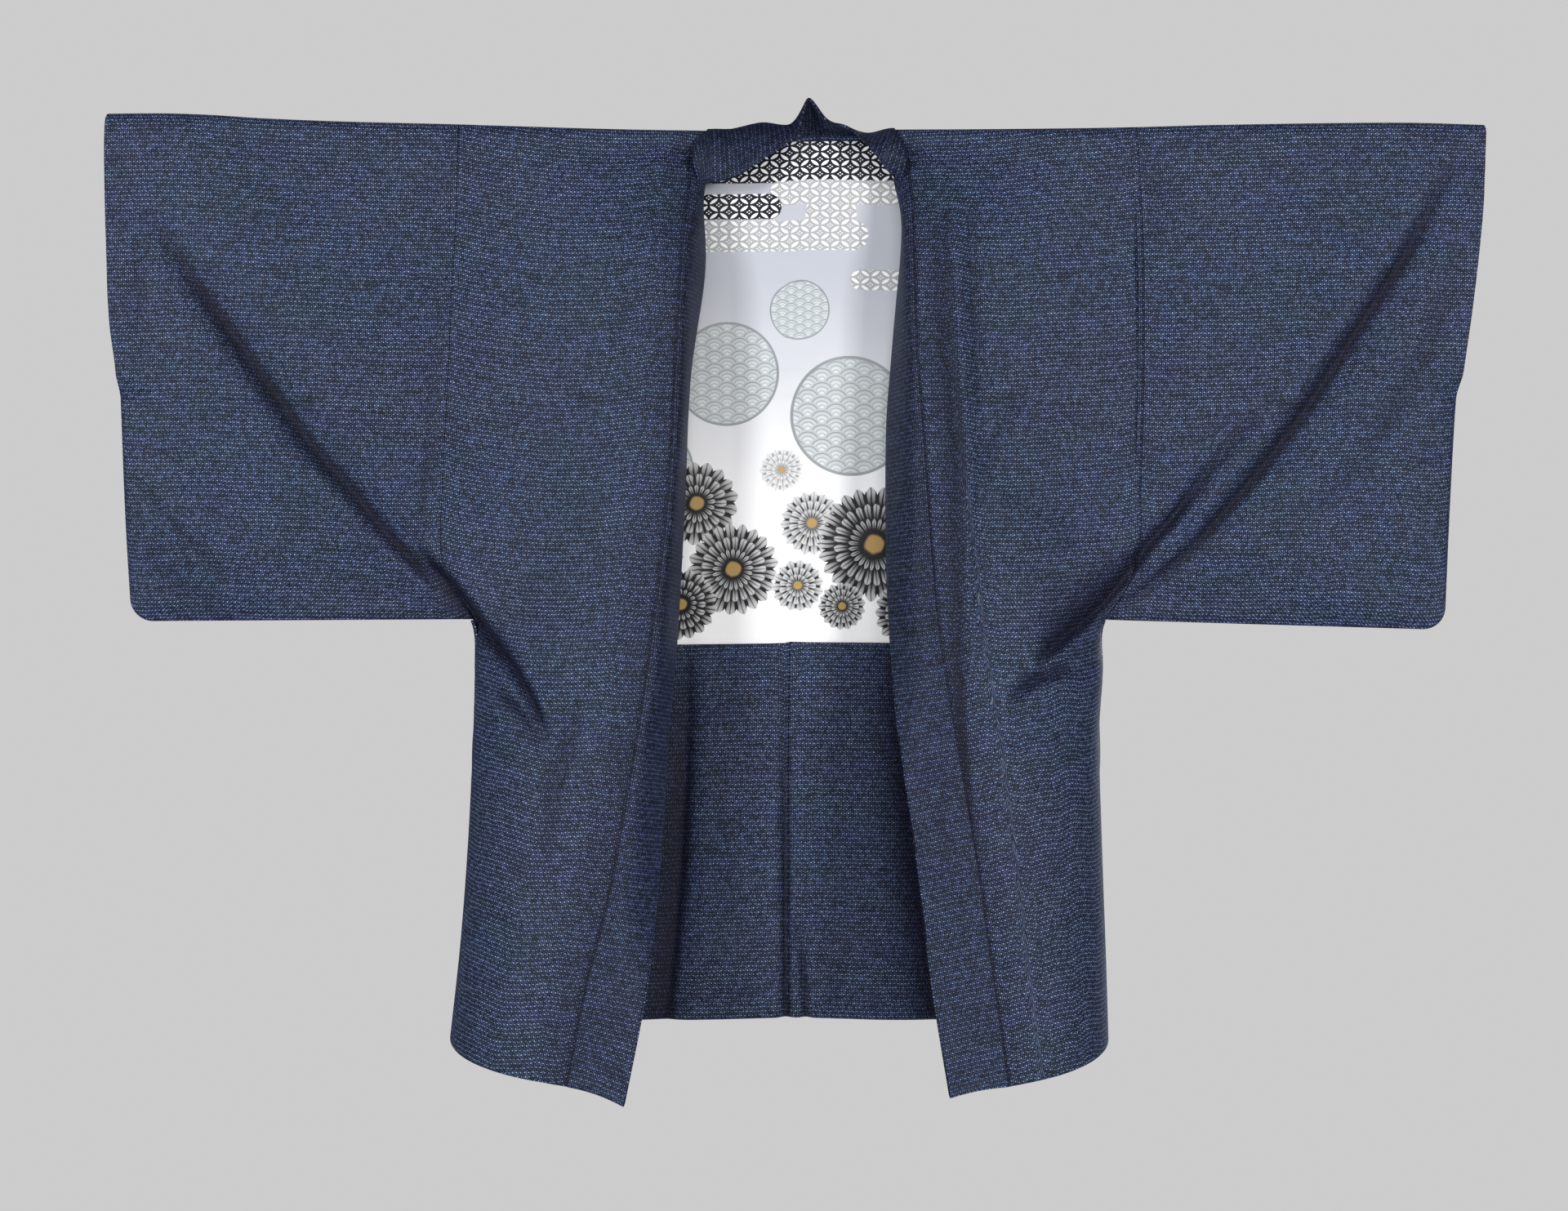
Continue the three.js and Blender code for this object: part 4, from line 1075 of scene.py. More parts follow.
def gusset_points(side, u, v):
    """A gusset from the back (u = 0) to the front (u = 1)."""
    z = mix(SIDE_HEM, GUSSET_TOP, v) + 0 * u
    turn = np.radians(between(FRONT_SIDE[side], "z", z, "turn"))
    back_out = between(BACK_SIDE[side], "z", z, "out") + SEAM
    back_y = between(BACK_SIDE[side], "z", z, "aft")
    front_out = between(FRONT_SIDE[side], "z", z, "out") - CLOTH / 2 * np.sin(turn)
    front_y = -between(FRONT_SIDE[side], "z", z, "fore") - UNDERLAP * np.sin(turn)
    reach = GUSSET_ROUND * np.hypot(front_out - back_out, front_y - back_y)
    out = bezier(back_out, back_out + reach, front_out + reach * np.cos(turn), front_out, u)
    y = bezier(back_y, back_y, front_y + reach * np.sin(turn), front_y, u)
    slack = GUSSET_SLACK["height"] * np.sin(math.pi * u)
    slack = slack * np.sin(2 * math.pi * z / GUSSET_SLACK["length"])
    slack = slack * smooth(0, GUSSET_SLACK["from"], v)
    return np.stack([SIDES[side] * (out + slack + puckers(z, u * GUSSET_WIDTH)), y, z], -1)


for side, sign in SIDES.items():
    gusset = Cloth()
    points = gusset_points(
        side, np.linspace(0, 1, GUSSET_COLUMNS)[None, :], np.linspace(0, 1, GUSSET_ROWS)[:, None]
    )
    numbers = gusset.lay(points, run_along(points, 1), run_along(points, 0))
    gusset.join(numbers)
    piece = gusset.finish(f"side_gusset_{side}", CLOTH, navy, turned=sign > 0)
    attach(piece, "root")
    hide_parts(f"gusset_{side}")

# ---------------------------------------------------------------------------------------------
# Facings. Inside the back, the body's own silk is turned up at the hem as far as the lining,
# and lies flat on the back's inner face.
LINING = 0.7
LINING_GAP = 1.1
CAD_CLOTH = 1.6
FACING_COLUMNS = 90
FACING_ROWS = 76
INSET = 0.0015  # how far it stays clear of the hem and of the back's middle seam, as a share
SIDE_INSET = 0.997  # and the share of the back's width where it ends at the side


def inside_back(side, u, v, off):
    """The back's points moved inwards, in rows from the hem up, and the painted shade of the back's
    outward folds, which shows on the inner side.
    """
    points, tone = back_points(side, u, v)
    normal = normals_of(points) * -SIDES[side]
    return points - normal * off, np.maximum(-tone, 0)


INNER = CAD_CLOTH / 2 + LINING_GAP + LINING / 2
for side, sign in SIDES.items():
    edge = place_on_panel(LINING_EDGE, SIDE_HEM, armhole_top(side))
    facing = Cloth()
    points, tone = inside_back(
        side,
        np.linspace(INSET, SIDE_INSET, FACING_COLUMNS)[None, :],
        np.linspace(INSET, edge - INSET, FACING_ROWS)[:, None],
        INNER,
    )
    across = run_along(points, 1)
    numbers = facing.lay(points, across * -sign, run_along(points, 0), tone)
    facing.join(numbers)
    piece = facing.finish(f"hem_facing_{side}", LINING, navy, turned=sign < 0)
    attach(piece, "root")
    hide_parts(f"facing_{side}")

# ---------------------------------------------------------------------------------------------
# Back lining. A width of thin pale silk lines the upper back. It is dyed with a lattice of
# linked rings in bands of haze, wave roundels and ink chrysanthemums.
LINING_COLUMNS = 130
LINING_ROWS = 120
LINING_TOP = 0.985  # its upper edge under the collar, as a share of the back's height
LINING_SLACK = 1.4  # how far it hangs clear of the cloth
LINING_FELLED = 12  # over this many rows above its lower edge it comes clear
LINING_WAVES = table(
    WAVE, (96, 2, 0.9, 0.4), (61, -3, 0.6, 2.6), (37, 1, 0.25, 1.0), (240, 80, 0.5, 0.2)
)

silk, tree, shader = new_material(
    "pale_silk", {"Roughness": 0.42, "Specular IOR Level": 0.16, "Sheen Weight": 0.03}
)
across, up = cloth_places(tree)


RAGGED = (70.0, 70.0)
PETAL_ROWS = ((1.0, 0.50, 0.0), (0.72, 0.30, 0.5), (0.46, 0.16, 0.2))  # tip, root, turn
HEART = (0.13, 0.19)


def ink_group():
    """A chrysanthemum head in ink: Ink is how dark it is, Cover where it lies, Heart its eye."""
    group, wire, outlet = new_group(
        "ink_chrysanthemum",
        [("Across", NUMBER, 0.0), ("Up", NUMBER, 0.0), ("Radius", NUMBER, 0.05),
         ("Petals", NUMBER, 21.0)],
        [("Ink", NUMBER), ("Cover", NUMBER), ("Heart", NUMBER)],
    )
    ragged = noise(group, wire["Across"], wire["Up"], RAGGED) - 0.5
    far = wire["Across"].from_point(wire["Up"]) / wire["Radius"] + ragged * 0.10
    angle = far.reckon("ARCTAN2", wire["Up"], wire["Across"]) / (2 * math.pi)
    ink = None
    cover = None
    for outer, inner, turn in PETAL_ROWS:
        petal = ((angle * wire["Petals"] + turn + ragged * 0.3).part() - 0.5).size() * 2.0
        tip = outer - petal * petal * 0.13
        inside = 1.0 - far.fade(tip - 0.03, tip)
        line = petal.fade(0.55, 0.92) * far.fade(inner * 0.7, inner)
        rib = (1.0 - petal.fade(0.0, 0.2)) * 0.3
        tone = (line * 0.6 + rib + (1.0 - far.fade(inner, outer)) * 0.55 + 0.30) * inside
        ink = tone if ink is None else ink * (1.0 - inside) + tone
        cover = inside if cover is None else cover.most(inside)
    heart = 1.0 - far.fade(*HEART)
    for label, value in (("Ink", ink), ("Cover", cover), ("Heart", heart)):
        feed(group, outlet.inputs[label], value)
    return group


LATTICE_ACROSS = 0.020
LATTICE_UP = 0.0145
RING_EDGE = (0.625, 0.640)
DOT_PLACE = 0.10
DOT_SIZE = (0.045, 0.065)


def lattice_of_rings(across, up):
    """Linked rings on a slanted lattice: where their petals lie, and the dots between."""
    slant = across / LATTICE_ACROSS + up / LATTICE_UP
    counter = across / LATTICE_ACROSS - up / LATTICE_UP
    a = (slant.part() - 0.5).size()
    b = (counter.part() - 0.5).size()
    reach = (a - 1.0).from_point(b).least(a.from_point(b - 1.0))
    petal = 1.0 - reach.fade(*RING_EDGE)
    dots = 1.0 - (a - DOT_PLACE).from_point(b - DOT_PLACE).fade(*DOT_SIZE)
    return petal.most(dots)


ARCS = 3.5  # in each wave
ARC_EDGE = (0.62, 0.80)
RIM = (0.93, 0.95, 0.985)  # where a roundel's dark rim starts, is full and ends


def wave_roundel(across, up, radius, scale):
    """Overlapping rows of arcs inside a ring: the tone of the wash, and where it lies."""
    y = up / (0.5 * scale)
    tones = []
    for back in (1.0, 0.0):
        row = y.floor() - back
        dy = (y - row) * 0.5
        dx = (across / (2 * scale) + row.odd() * 0.5).part() * 2.0 - 1.0
        tones.append(dx.from_point(dy))
    front, behind = tones
    use_front = 1.0 - front.over(1.0)
    far = front * use_front + behind * (1.0 - use_front)
    arcs = (far * ARCS).part().fade(*ARC_EDGE)
    inside = 1.0 - across.from_point(up).fade(radius * RIM[2], radius)
    ring = across.from_point(up).fade(radius * RIM[0], radius * RIM[1]) * inside
    return (far.fade(0.1, 1.0) * 0.45 + arcs * 0.55).most(ring), inside


# The dyer's layout, in metres from the middle of the lining's lower edge.
HAZE = [  # across from, to, height, half height, ground; each lies over the ones before it
    (-0.250, 0.250, 0.498, 0.042, "night"),
    (-0.020, 0.250, 0.4465, 0.0120, "silver"),
    (0.016, 0.066, 0.4250, 0.0245, "silver"),
    (-0.250, 0.078, 0.4040, 0.0150, "silver"),
    (-0.250, -0.008, 0.4330, 0.0125, "night"),
    (0.060, 0.250, 0.3600, 0.0100, "silver"),
]
ROUNDELS = [  # across, height, radius, width of the arcs
    (-0.062, 0.268, 0.052, 0.0125),
    (0.060, 0.225, 0.060, 0.0140),
    (0.010, 0.330, 0.030, 0.0085),
    (-0.135, 0.175, 0.040, 0.0110),
]
FLOWERS = [  # across, height, radius, petals, strength of the ink
    (-0.008, 0.172, 0.022, 15, 0.6),
    (0.150, 0.150, 0.044, 19, 1.1),
    (-0.160, 0.095, 0.056, 23, 1.2),
    (0.022, 0.118, 0.032, 19, 0.9),
    (-0.092, 0.140, 0.042, 17, 1.3),
    (0.084, 0.098, 0.058, 25, 1.4),
    (-0.056, 0.074, 0.046, 21, 1.3),
    (0.008, 0.056, 0.026, 15, 1.0),
    (-0.108, 0.040, 0.036, 17, 1.4),
    (0.052, 0.036, 0.024, 17, 1.2),
    (0.120, 0.030, 0.036, 19, 1.4),
]
PALE_SKY = (0.42, 0.44, 0.49)
SILK_WHITE = (0.81, 0.815, 0.82)
NIGHT = (0.003, 0.005, 0.014)
SILVER = (0.36, 0.37, 0.38)
WASH_GREEN = (0.06, 0.08, 0.085)
WASH_PALE = (0.57, 0.61, 0.62)
CHARCOAL = (0.012, 0.012, 0.014)
GOLD = (0.40, 0.26, 0.09)
WASH = (5.0, 7.0)
TWILL = (2600.0, 900.0)
HAZE_EDGE = 0.0008

wash = noise(tree, across, up, WASH, detail=3.0)
paint = blend_colours(tree, (up + wash * 0.1).fade(0.14, 0.44), SILK_WHITE, PALE_SKY)
rings = lattice_of_rings(across, up)
for start, end, level, half, ground in HAZE:
    middle, reach = (start + end) / 2, (end - start) / 2
    beyond = ((across - middle).size() - (reach - half)).most(0.0)
    band = 1.0 - beyond.from_point(up - level).fade(half - HAZE_EDGE, half + HAZE_EDGE)
    ground_colour = NIGHT if ground == "night" else SILVER
    cloth_of_rings = blend_colours(tree, rings, ground_colour, SILK_WHITE)
    paint = blend_colours(tree, band, paint, cloth_of_rings)
for middle, level, radius, scale in ROUNDELS:
    tone, inside = wave_roundel(across - middle, up - level, radius, scale)
    washed = blend_colours(tree, tone * (0.45 + wash * 0.6), WASH_PALE, WASH_GREEN)
    paint = blend_colours(tree, inside * 0.85, paint, washed)
flower_group = ink_group()
for middle, level, radius, petals, strength in FLOWERS:
    flower = tree.nodes.new("ShaderNodeGroup")
    flower.node_tree = flower_group
    for label, value in (
        ("Across", across - middle), ("Up", up - level), ("Radius", radius), ("Petals", petals)
    ):
        feed(tree, flower.inputs[label], value)
    cover = Wire(tree, flower.outputs["Cover"])
    tone = Wire(tree, flower.outputs["Ink"]) * strength * (0.75 + wash * 0.5)
    inked = blend_colours(tree, tone.least(1.0), SILK_WHITE, CHARCOAL)
    inked = blend_colours(tree, Wire(tree, flower.outputs["Heart"]) * 0.9, inked, GOLD)
    paint = blend_colours(tree, cover, paint, inked)
tree.links.new(paint, shader.inputs["Base Color"])
bumps(tree, shader, noise(tree, across, up, TWILL, detail=1.0), strength=0.06, distance=0.0001)

half_grids = []
for side, sign in SIDES.items():
    edge = place_on_panel(LINING_EDGE, SIDE_HEM, armhole_top(side))
    share = np.linspace(0.0, SIDE_INSET, LINING_COLUMNS // 2 + 1)
    points, _ = inside_back(
        side, share[None, :], np.linspace(edge, LINING_TOP, LINING_ROWS)[:, None], INNER
    )
    half_grids.append(points if sign > 0 else points[:, ::-1])
points = np.concatenate([half_grids[0][:, :-1], half_grids[1]], 1)
ripple = waves(LINING_WAVES, points[..., 0], points[..., 2])
clear = smooth(0, LINING_FELLED, np.arange(LINING_ROWS))[:, None]
points[..., 1] -= (LINING_SLACK + ripple) * clear
lining = Cloth()
numbers = lining.lay(points, points[..., 0], run_along(points, 0))
lining.join(numbers)
piece = lining.finish("silk_back_lining", LINING, silk)

# The lining's turned lower edge is felled to the facing by hand, with tiny stitches a few
# millimetres apart, in a pale silk thread.
STITCHES = {
    "Spacing": 0.0065,
    "Length": 0.0021,
    "Thickness": 0.00036,
    "Shortest": 0.7,
    "Seed": 11,
}
STITCH_ROW = 1  # the row of the lining that the stitches follow, up from its edge


def stitch_tree(sizes, thread):
    """Stitches along a line of edges: its inputs are the line, the sizes and the thread."""
    tree = bpy.data.node_groups.new("felling_stitches", "GeometryNodeTree")
    tree.interface.new_socket("Line", in_out="INPUT", socket_type="NodeSocketGeometry")
    for label, value in sizes.items():
        kind = "NodeSocketInt" if label == "Seed" else NUMBER
        tree.interface.new_socket(label, in_out="INPUT", socket_type=kind).default_value = value
    tree.interface.new_socket("Thread", in_out="INPUT", socket_type="NodeSocketMaterial")
    tree.interface.new_socket("Stitches", in_out="OUTPUT", socket_type="NodeSocketGeometry")
    start, outlet = tree.nodes.new("NodeGroupInput"), tree.nodes.new("NodeGroupOutput")
    curve = tree.nodes.new("GeometryNodeMeshToCurve")
    places = tree.nodes.new("GeometryNodeCurveToPoints")
    places.mode = "LENGTH"
    bead = tree.nodes.new("GeometryNodeMeshUVSphere")
    bead.inputs["Segments"].default_value = 8
    bead.inputs["Rings"].default_value = 6
    bead.inputs["Radius"].default_value = 0.5
    uneven = tree.nodes.new("FunctionNodeRandomValue")
    uneven.data_type = "FLOAT"
    uneven.inputs[3].default_value = 1.0
    size = tree.nodes.new("ShaderNodeCombineXYZ")
    long = tree.nodes.new("ShaderNodeMath")
    long.operation = "MULTIPLY"
    put = tree.nodes.new("GeometryNodeInstanceOnPoints")
    real = tree.nodes.new("GeometryNodeRealizeInstances")
    dyed = tree.nodes.new("GeometryNodeSetMaterial")
    for source, target in (
        (start.outputs["Line"], curve.inputs["Mesh"]),
        (curve.outputs["Curve"], places.inputs["Curve"]),
        (start.outputs["Spacing"], places.inputs["Length"]),
        (places.outputs["Points"], put.inputs["Points"]),
        (places.outputs["Rotation"], put.inputs["Rotation"]),
        (bead.outputs["Mesh"], put.inputs["Instance"]),
        (start.outputs["Shortest"], uneven.inputs[2]),
        (start.outputs["Seed"], uneven.inputs["Seed"]),
        (start.outputs["Length"], long.inputs[0]),
        (uneven.outputs[1], long.inputs[1]),
        (start.outputs["Thickness"], size.inputs["X"]),
        (start.outputs["Thickness"], size.inputs["Y"]),
        (long.outputs[0], size.inputs["Z"]),
        (size.outputs[0], put.inputs["Scale"]),
        (put.outputs["Instances"], real.inputs["Geometry"]),
        (real.outputs["Geometry"], dyed.inputs["Geometry"]),
        (start.outputs["Thread"], dyed.inputs["Material"]),
        (dyed.outputs["Geometry"], outlet.inputs["Stitches"]),
    ):
        tree.links.new(source, target)
    return tree, {socket.name: socket.identifier for socket in tree.interface.items_tree}


silk_thread, tree, shader = new_material("pale_silk_thread", {"Roughness": 0.5})
place = tree.nodes.new("ShaderNodeTexCoord")
twist = tree.nodes.new("ShaderNodeTexWave")
twist.bands_direction = "DIAGONAL"
twist.inputs["Scale"].default_value = 900.0
tree.links.new(place.outputs["Object"], twist.inputs["Vector"])
shade = Wire(tree, twist.outputs["Fac"])
plied = blend_colours(tree, shade, (0.50, 0.51, 0.53), (0.74, 0.75, 0.76))
tree.links.new(plied, shader.inputs["Base Color"])

lower_edge = points[STITCH_ROW] - np.array([0, LINING / 2, 0])
line_mesh = bpy.data.meshes.new("lining_stitches")
line_mesh.from_pydata(
    (lower_edge * MM).tolist(), [(i, i + 1) for i in range(len(lower_edge) - 1)], []
)
stitches = put_up("lining_stitches", line_mesh)
modifier = stitches.modifiers.new("felling", "NODES")
modifier.node_group, sockets = stitch_tree(STITCHES, silk_thread)
for label, value in STITCHES.items():
    modifier[sockets[label]] = value
modifier[sockets["Thread"]] = silk_thread
seen_now = bpy.context.evaluated_depsgraph_get()
stitched = bpy.data.meshes.new_from_object(stitches.evaluated_get(seen_now))
stitches.modifiers.clear()
stitches.data = stitched
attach(stitches, "root")

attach(piece, "root")
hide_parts("lining_back")

# ---------------------------------------------------------------------------------------------
# Sleeves. Each is one length folded at the shoulder and sewn along the bottom. The cuff edge is
# sewn shut in its lower part, with a round corner, and the upper part is open for the hand.
CUFF_OPEN = -258
CUFF_CORNER = 21
CUFF_CLOSING = {"above": 18, "below": 12}
CUFF_ROUND = 0.16
SLEEVE_INNER = 310
SLEEVE_WIDTH = 340
SLEEVE_FULLNESS = 5
SLEEVE_FLAT = {"bottom": 26, "cuff": 0.93}  # creases die out this near the sewn edges
ARMHOLE_SPREAD = 3  # how far the layers may part, as a multiple of the armhole's own depth
SLEEVE_ROUND = 70
ARMHOLE_BLEND = 0.14
LAYER_GAP = 0.75  # half the distance between the middles of two layers that lie together
LAYER_SOFTNESS = 1.2
SEWN_GAP = 0.57  # and where they are sewn
SEWN_BOTTOM = {"up": 7, "armhole": 0.08}  # the bottom seam reaches up, and starts off the armhole
SEWN_CUFF = 0.99
SLEEVE_BACK_SHIFT = 300  # so that the back layer's waves aren't the front's
UNDERARM = -425  # below this height the sleeve hangs free of the body,
UNDERARM_TUCK = 0.12  # and this share of its turned-in edge is left
SLEEVE_COLUMNS = 100
CORNER_COLUMNS = 12
SLEEVE_ROWS = 150
SEAM_LINE = np.array([0, 0.0025, 0.005])  # columns beside the armhole seam, as shares
SEAM_SHADE = (0.9, 0.6)
CUFF = {
    "right": table(
        "z out", (20, 671), (-30, 672), (-120, 670), (-190, 666.5), (-234, 660.5), (-262, 659),
        (-386, 654), (-500, 647),
    ),
    "left": table(
        "z out", (20, 684), (-72, 679), (-177, 667), (-250, 657.5), (-354, 651), (-500, 644.5),
    ),
}
SLEEVE_BOTTOM = {"right": (-481, -483), "left": (-481.5, -491.5)}


def sleeve_points(side, layer, u, v):
    """One layer of a sleeve: u from the armhole to the cuff, v from the bottom to the fold."""
    sign, rows = SIDES[side], FRONT_SIDE[side]
    top = shoulder_z(sign * mix(rows["out"][0], CUFF[side]["out"][0], u))
    inner_low, outer_low = SLEEVE_BOTTOM[side]
    cuff_low = between(CUFF[side], "z", np.array(float(outer_low)), "out")
    corner_in = np.maximum(CUFF_CORNER - (cuff_low - mix(SLEEVE_INNER, cuff_low, u)), 0)
    corner = CUFF_CORNER - np.sqrt(np.maximum(CUFF_CORNER**2 - corner_in**2, 0))
    bottom = mix(inner_low, outer_low, u) + corner
    z, hang, _ = height_on_panel(v, bottom, top)
    turn = np.radians(between(rows, "z", z, "turn"))
    seam_rows = rows if layer < 0 else BACK_SIDE[side]
    armhole = between(seam_rows, "z", z, "out") + SEAM + CAD_CLOTH * np.sin(turn)
    out = mix(armhole, between(CUFF[side], "z", z, "out"), u)
    seam_y = between(seam_rows, "z", z, "fore" if layer < 0 else "aft")
    rise = np.clip((z - bottom) / (top - bottom), 0, 1)
    full = SHOULDER_RADIUS - LAYER_GAP + SLEEVE_FULLNESS * np.sin(math.pi * rise)
    from_bottom = np.sqrt(np.clip((z - bottom) / SLEEVE_ROUND, 0, 1))
    sewn = smooth(CUFF_OPEN + CUFF_CLOSING["above"], CUFF_OPEN - CUFF_CLOSING["below"], z)
    from_cuff = np.sqrt(np.clip((1 - u) / CUFF_ROUND, 0, 1))
    hollow = LAYER_GAP + full * from_bottom * mix(1, from_cuff, sewn)
    half = mix(seam_y, hollow, smooth(0, ARMHOLE_BLEND, u))
    half = np.minimum(half, seam_y * ARMHOLE_SPREAD)
    x = sign * out
    if layer < 0:
        press, tone = crease_depth(FRONT_CREASES, x, z)
        press += waves(SLEEVE_WAVES, x, z)
    else:
        press, tone = crease_depth(BACK_CREASES, x, z)
        press += waves(SLEEVE_WAVES, x + SLEEVE_BACK_SHIFT, z)
    near_cuff = mix(1, smooth(1, SLEEVE_FLAT["cuff"], u), sewn)
    near_edge = np.minimum(smooth(0, SLEEVE_FLAT["bottom"], z - bottom), near_cuff)
    gather = puckers(z, u * SLEEVE_WIDTH) + puckers(x, z - bottom) * 0.5
    wanted = half - press * hang * near_edge - gather * hang
    # Where the layers would touch, the cloth lies against the other layer instead.
    room = np.logaddexp(0, (wanted - LAYER_GAP) / LAYER_SOFTNESS) * LAYER_SOFTNESS + LAYER_GAP
    along_bottom = smooth(SEWN_BOTTOM["up"], 0, z - bottom) * smooth(0, SEWN_BOTTOM["armhole"], u)
    along_cuff = sewn * smooth(SEWN_CUFF, 1, u)
    room = mix(room, SEWN_GAP, np.maximum(along_bottom, along_cuff))
    y = layer * np.where(hang < 1, half * hang, room)
    return np.stack([x, y, z], -1), np.maximum(tone, 0)


for side, sign in SIDES.items():
    low = SLEEVE_BOTTOM[side][0]
    top = armhole_top(side)
    fold = place_on_panel(top - SHOULDER_RADIUS, low, top)
    rows = np.concatenate(
        [np.linspace(0, fold, SLEEVE_ROWS + 1), np.linspace(fold, 1, FOLD_ROWS + 1)[1:]]
    )[:, None]
    corner_share = CUFF_CORNER / (CUFF[side]["out"][-1] - SLEEVE_INNER)
    corner = corner_share * (1 - np.sin(np.linspace(0, math.pi / 2, CORNER_COLUMNS + 1)))
    inward = np.linspace(SEAM_LINE[-1] * 2, 1 - corner_share, SLEEVE_COLUMNS)[:-1]
    columns = np.concatenate([SEAM_LINE, inward, 1 - corner])
    back, back_tone = sleeve_points(side, 1, columns[None, :], rows)
    front, front_tone = sleeve_points(side, -1, columns[None, :], rows)
    back[-1, :, 1] = 0
    for layer_tone in (back_tone, front_tone):
        layer_tone[:, :2] = np.maximum(layer_tone[:, :2], SEAM_SHADE)
    points = np.concatenate([back, front[::-1][1:]])
    tone = np.concatenate([back_tone, front_tone[::-1][1:]])
    under = tucked(points, sign)
    below_arm = (points[:, 0, 2] < UNDERARM)[:, None, None]
    shorter = points[:, :1] + (under - points[:, :1]) * UNDERARM_TUCK
    under = np.where(below_arm, shorter, under)
    down = run_along(points, 0)
    down -= down[len(rows) - 1]
    across = run_along(points, 1)
    sleeve = Cloth()
    numbers = sleeve.lay(points, across, down, tone)
    numbers_under = sleeve.lay(under, -TUCK[:, 0] + 0 * across[:, :1], down[:, :1] + 0 * TUCK[:, 0])
    sleeve.join(np.concatenate([numbers_under, numbers], 1))
    piece = sleeve.finish(f"sleeve_{side}", CLOTH, navy, turned=sign > 0)
    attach(piece, "root")
    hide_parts(f"sleeve_front_{side}", f"sleeve_back_{side}")

# ---------------------------------------------------------------------------------------------
# Collar. One long band runs from hem to hem round the neck, folded double lengthwise over an
# inner cloth. Its seam is on the fronts' edges and the neckline, and it falls forward.
BAND_CLOTH = 2.4
BAND_GAP = 0.4
BAND_ROUND = 0.67
BAND_DROP = 0.4
NECK_CLIMB = 40
NECK_LAST = 3
NECK_LIFT = 1.3
BAND_DIRECTION = 0.97  # the band runs on in the front's direction from here to its seam
BAND_COLUMNS = 20
BAND_ROWS = 220
CLIMB_FROM = 1 - 1 / 60  # the band starts to climb over the shoulder fold just below it
CLIMB_ROWS = 24
NECK_ROWS = 60
LIFT_SHARE = 0.03
EASE = table("length height phase", (47, 0.7, 0), (21, 0.35, 1.4), (9.5, 0.12, 0))  # slow waves
EASE_ROUND = 0.6
TENT = {"rise": (10, 18), "fall": (58, 44)}  # where the raised fold at the neck stands
# Painted shade on the collar band: near the neck, darkest in its raised fold there, and down each
# front by height.
NECK_SHADE = {"below": 46, "band": 0.86, "tent": 1.0}  # reach down, and tones round the neck
BAND_SHADE = {
    "right": table("z tone", (0, 0.4), (-120, 0.55), (-450, 0.5), (-620, 0.15), (-935, 0.1)),
    "left": table("z tone", (0, 0.5), (-200, 0.45), (-400, 0.4), (-560, 0.25), (-935, 0.1)),
}
NECK = table(
    "x topX topY topZ edgeX edgeY edgeZ",
    (-94, -95, -48, -36, -88, -22, -58),
    (-78, -78, -34, -6, -76, -26, -55),
    (-62, -58, -15, 9, -54, -26, -50),
    (-30, -27, 2, 27, -25, -18, -30),
    (-5, 1, 4, 15, 6, -17, -8),
    (9, 13, 4, 24, 16, -25, 23.5),
    (23, 21.5, 4, 24, 22, -25, 23.5),
    (45, 40, 0, 11, 37, -26, 4),
    (68, 62, -4, 2, 56, -28, -2),
    (86, 80, -12, -5, 74, -30, -17),
    (103, 100, -36, -12, 91, -30, -38),
    (112, 116, -48, -36, 109, -20, -58),
)


def band_sections(side, v):
    """The collar on a front: its seam, the point of its turn and its free edge, by height."""
    sign = SIDES[side]
    x, y, z, _ = front_section(side, np.ones_like(v), v)
    in_x, in_y, _, _ = front_section(side, np.full_like(v, BAND_DIRECTION), v)
    run = np.hypot(x - in_x, y - in_y)
    column = {name: between(BAND[side], "z", z, name) for name in BAND[side]}
    start = np.stack([x - sign * BAND_GAP, y, z], -1)
    turn_x = start[:, 0] + (x - in_x) / run * column["bend"]
    turn_y = start[:, 1] + (y - in_y) / run * column["bend"]
    turn = np.stack([turn_x, turn_y, mix(z, column["edgeZ"], BAND_DROP)], -1)
    end = np.stack([sign * column["edge"], -column["edgeFore"], column["edgeZ"]], -1)
    return start, turn, end


sections = {}
for side in SIDES:
    top = armhole_top(side)
    fold = place_on_panel(top - SHOULDER_RADIUS, SIDE_HEM, top)
    last = fold * CLIMB_FROM
    on_front = band_sections(side, np.linspace(0, last, BAND_ROWS))
    climb = np.linspace(last, 1, CLIMB_ROWS)[1:]
    start, _, _ = band_sections(side, climb)
    _, _, _, hang = front_section(side, np.ones_like(climb), climb)
    lifted = NECK_LIFT * smooth(last, last + LIFT_SHARE, climb)
    start[:, 1] -= lifted * hang
    start[:, 2] += lifted * np.sqrt(1 - hang**2)
    neck = neck_corner(side)
    share = np.linspace((neck - NECK_LAST) / BACK_SIDE[side]["out"][0], 0, NECK_ROWS)
    on_back = back_points(side, share[None, :], np.ones((1, 1)))[0][0]
    climb_back = smooth(neck - NECK_CLIMB, neck, np.abs(on_back[:, 0]))
    on_back[:, 2] += mix(BAND_GAP, NECK_LIFT, climb_back)
    sections[side] = (on_front, np.concatenate([start, on_back]))

seam_line = np.concatenate([sections["right"][1], sections["left"][1][::-1][1:]])
ends = {side: [part[-1] for part in sections[side][0]] for side in SIDES}
columns = {"x": (ends["right"][0][0], *NECK["x"], ends["left"][0][0])}
for place, kind in ((1, "top"), (2, "edge")):
    for axis, letter in enumerate("XYZ"):
        name = kind + letter
        columns[name] = (ends["right"][place][axis], *NECK[name], ends["left"][place][axis])
around_neck = {name: np.array(values, float) for name, values in columns.items()}


def round_neck(kind):
    """The band's turn (top) or its free edge (edge) round the neck, along its seam."""
    names = [kind + letter for letter in "XYZ"]
    return np.stack([between(around_neck, "x", seam_line[:, 0], name) for name in names], -1)


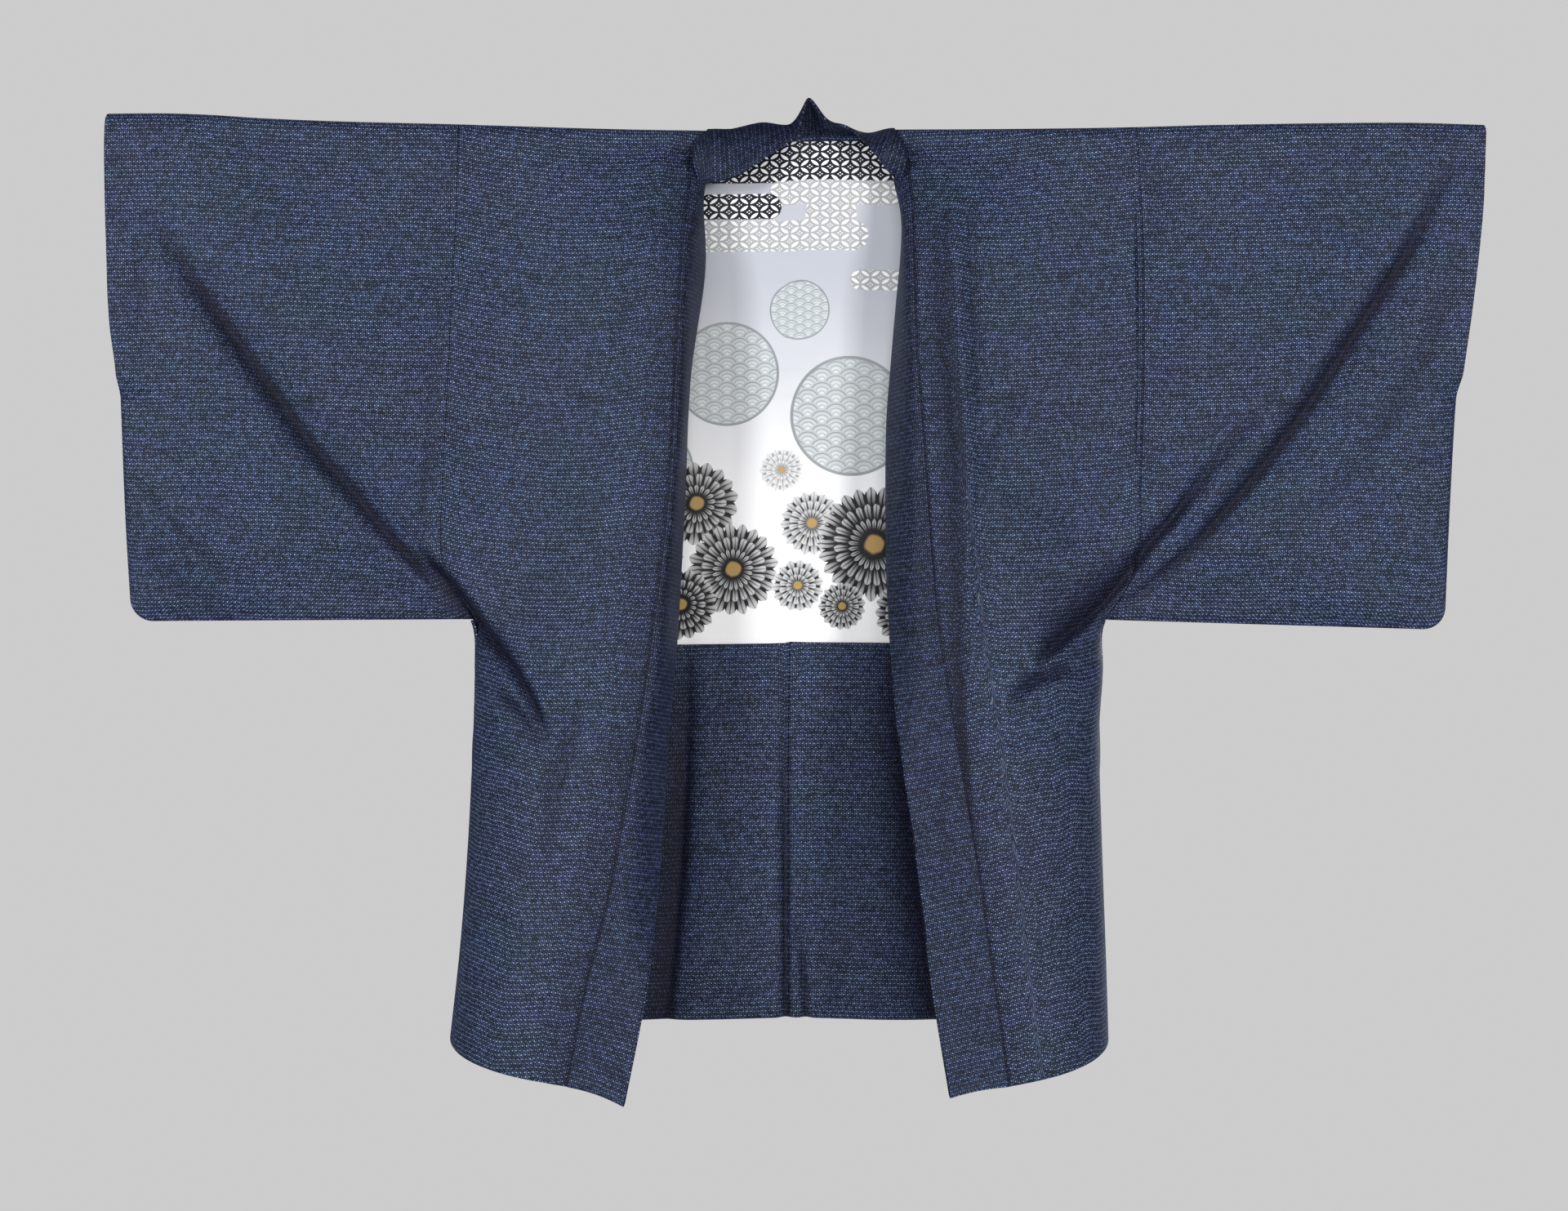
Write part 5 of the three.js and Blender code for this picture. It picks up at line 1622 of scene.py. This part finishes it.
def hem_to_hem(place, neck_line):
    """One line of the band: up the right front, round the neck and down the left front."""
    up_front, down_front = sections["right"][0][place], sections["left"][0][place][::-1]
    return np.concatenate([up_front, neck_line, down_front])


start = hem_to_hem(0, seam_line)
turn = hem_to_hem(1, round_neck("top"))
end = hem_to_hem(2, round_neck("edge"))
SETTLE = np.array([1, 4, 6, 4, 1]) / 16


def settled(line, times):
    """A line of points, evened out where its stretches meet."""
    for _ in range(times):
        padded = np.concatenate([line[:1], line[:1], line, line[-1:], line[-1:]])
        line = sum(weight * padded[k : k + len(line)] for k, weight in enumerate(SETTLE))
    return line


turn, end = settled(turn, 3), settled(end, 3)
across = np.linspace(0, 1, BAND_COLUMNS)[None, :, None]
near, far = mix(start, turn, BAND_ROUND), mix(end, turn, BAND_ROUND)
points = bezier(start[:, None], near[:, None], far[:, None], end[:, None], across)
down = run_along(points, 0)[:, :1] + np.zeros((1, BAND_COLUMNS))
ease = sum(
    np.sin(down / length + phase) * height
    for length, height, phase in zip(EASE["length"], EASE["height"], EASE["phase"])
)
ease = ease * np.sin(math.pi * across[..., 0]) ** EASE_ROUND
points += normals_of(points) * ease[..., None]
band = Cloth()
# The band's painted shade, with a dark line along its seam on the first column.
high_up = np.maximum(points[..., 2] + NECK_SHADE["below"], 0) / NECK_SHADE["below"]
in_tent = smooth(*TENT["rise"], points[..., 0]) * smooth(*TENT["fall"], points[..., 0])
neck_tone = np.minimum(high_up, 1) * mix(NECK_SHADE["band"], NECK_SHADE["tent"], in_tent)
on_right, on_left = (between(BAND_SHADE[side], "z", points[..., 2], "tone") for side in SIDES)
band_tone = np.maximum(neck_tone, np.where(points[..., 0] < 0, on_right, on_left))
band_tone[:, 0] = COLLAR_SEAM
numbers = band.lay(points, run_along(points, 1), down, band_tone)
band.join(numbers)
# The band's silk is a darker copy of the navy, painted shade.
band_shaded_colours = {"Dark": NAVY["Dark"], "Bar": (0.045, 0.068, 0.138), "Dot": (0.17, 0.22, 0.33)}
navy_band_shaded = navy_silk("navy_band_silk_shaded", band_shaded_colours, 0.6)
piece = band.finish("collar_band", BAND_CLOTH, navy_band_shaded)
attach(piece, "root")
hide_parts("collar_right", "collar_neck", "collar_left")

# ---------------------------------------------------------------------------------------------
low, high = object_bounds()
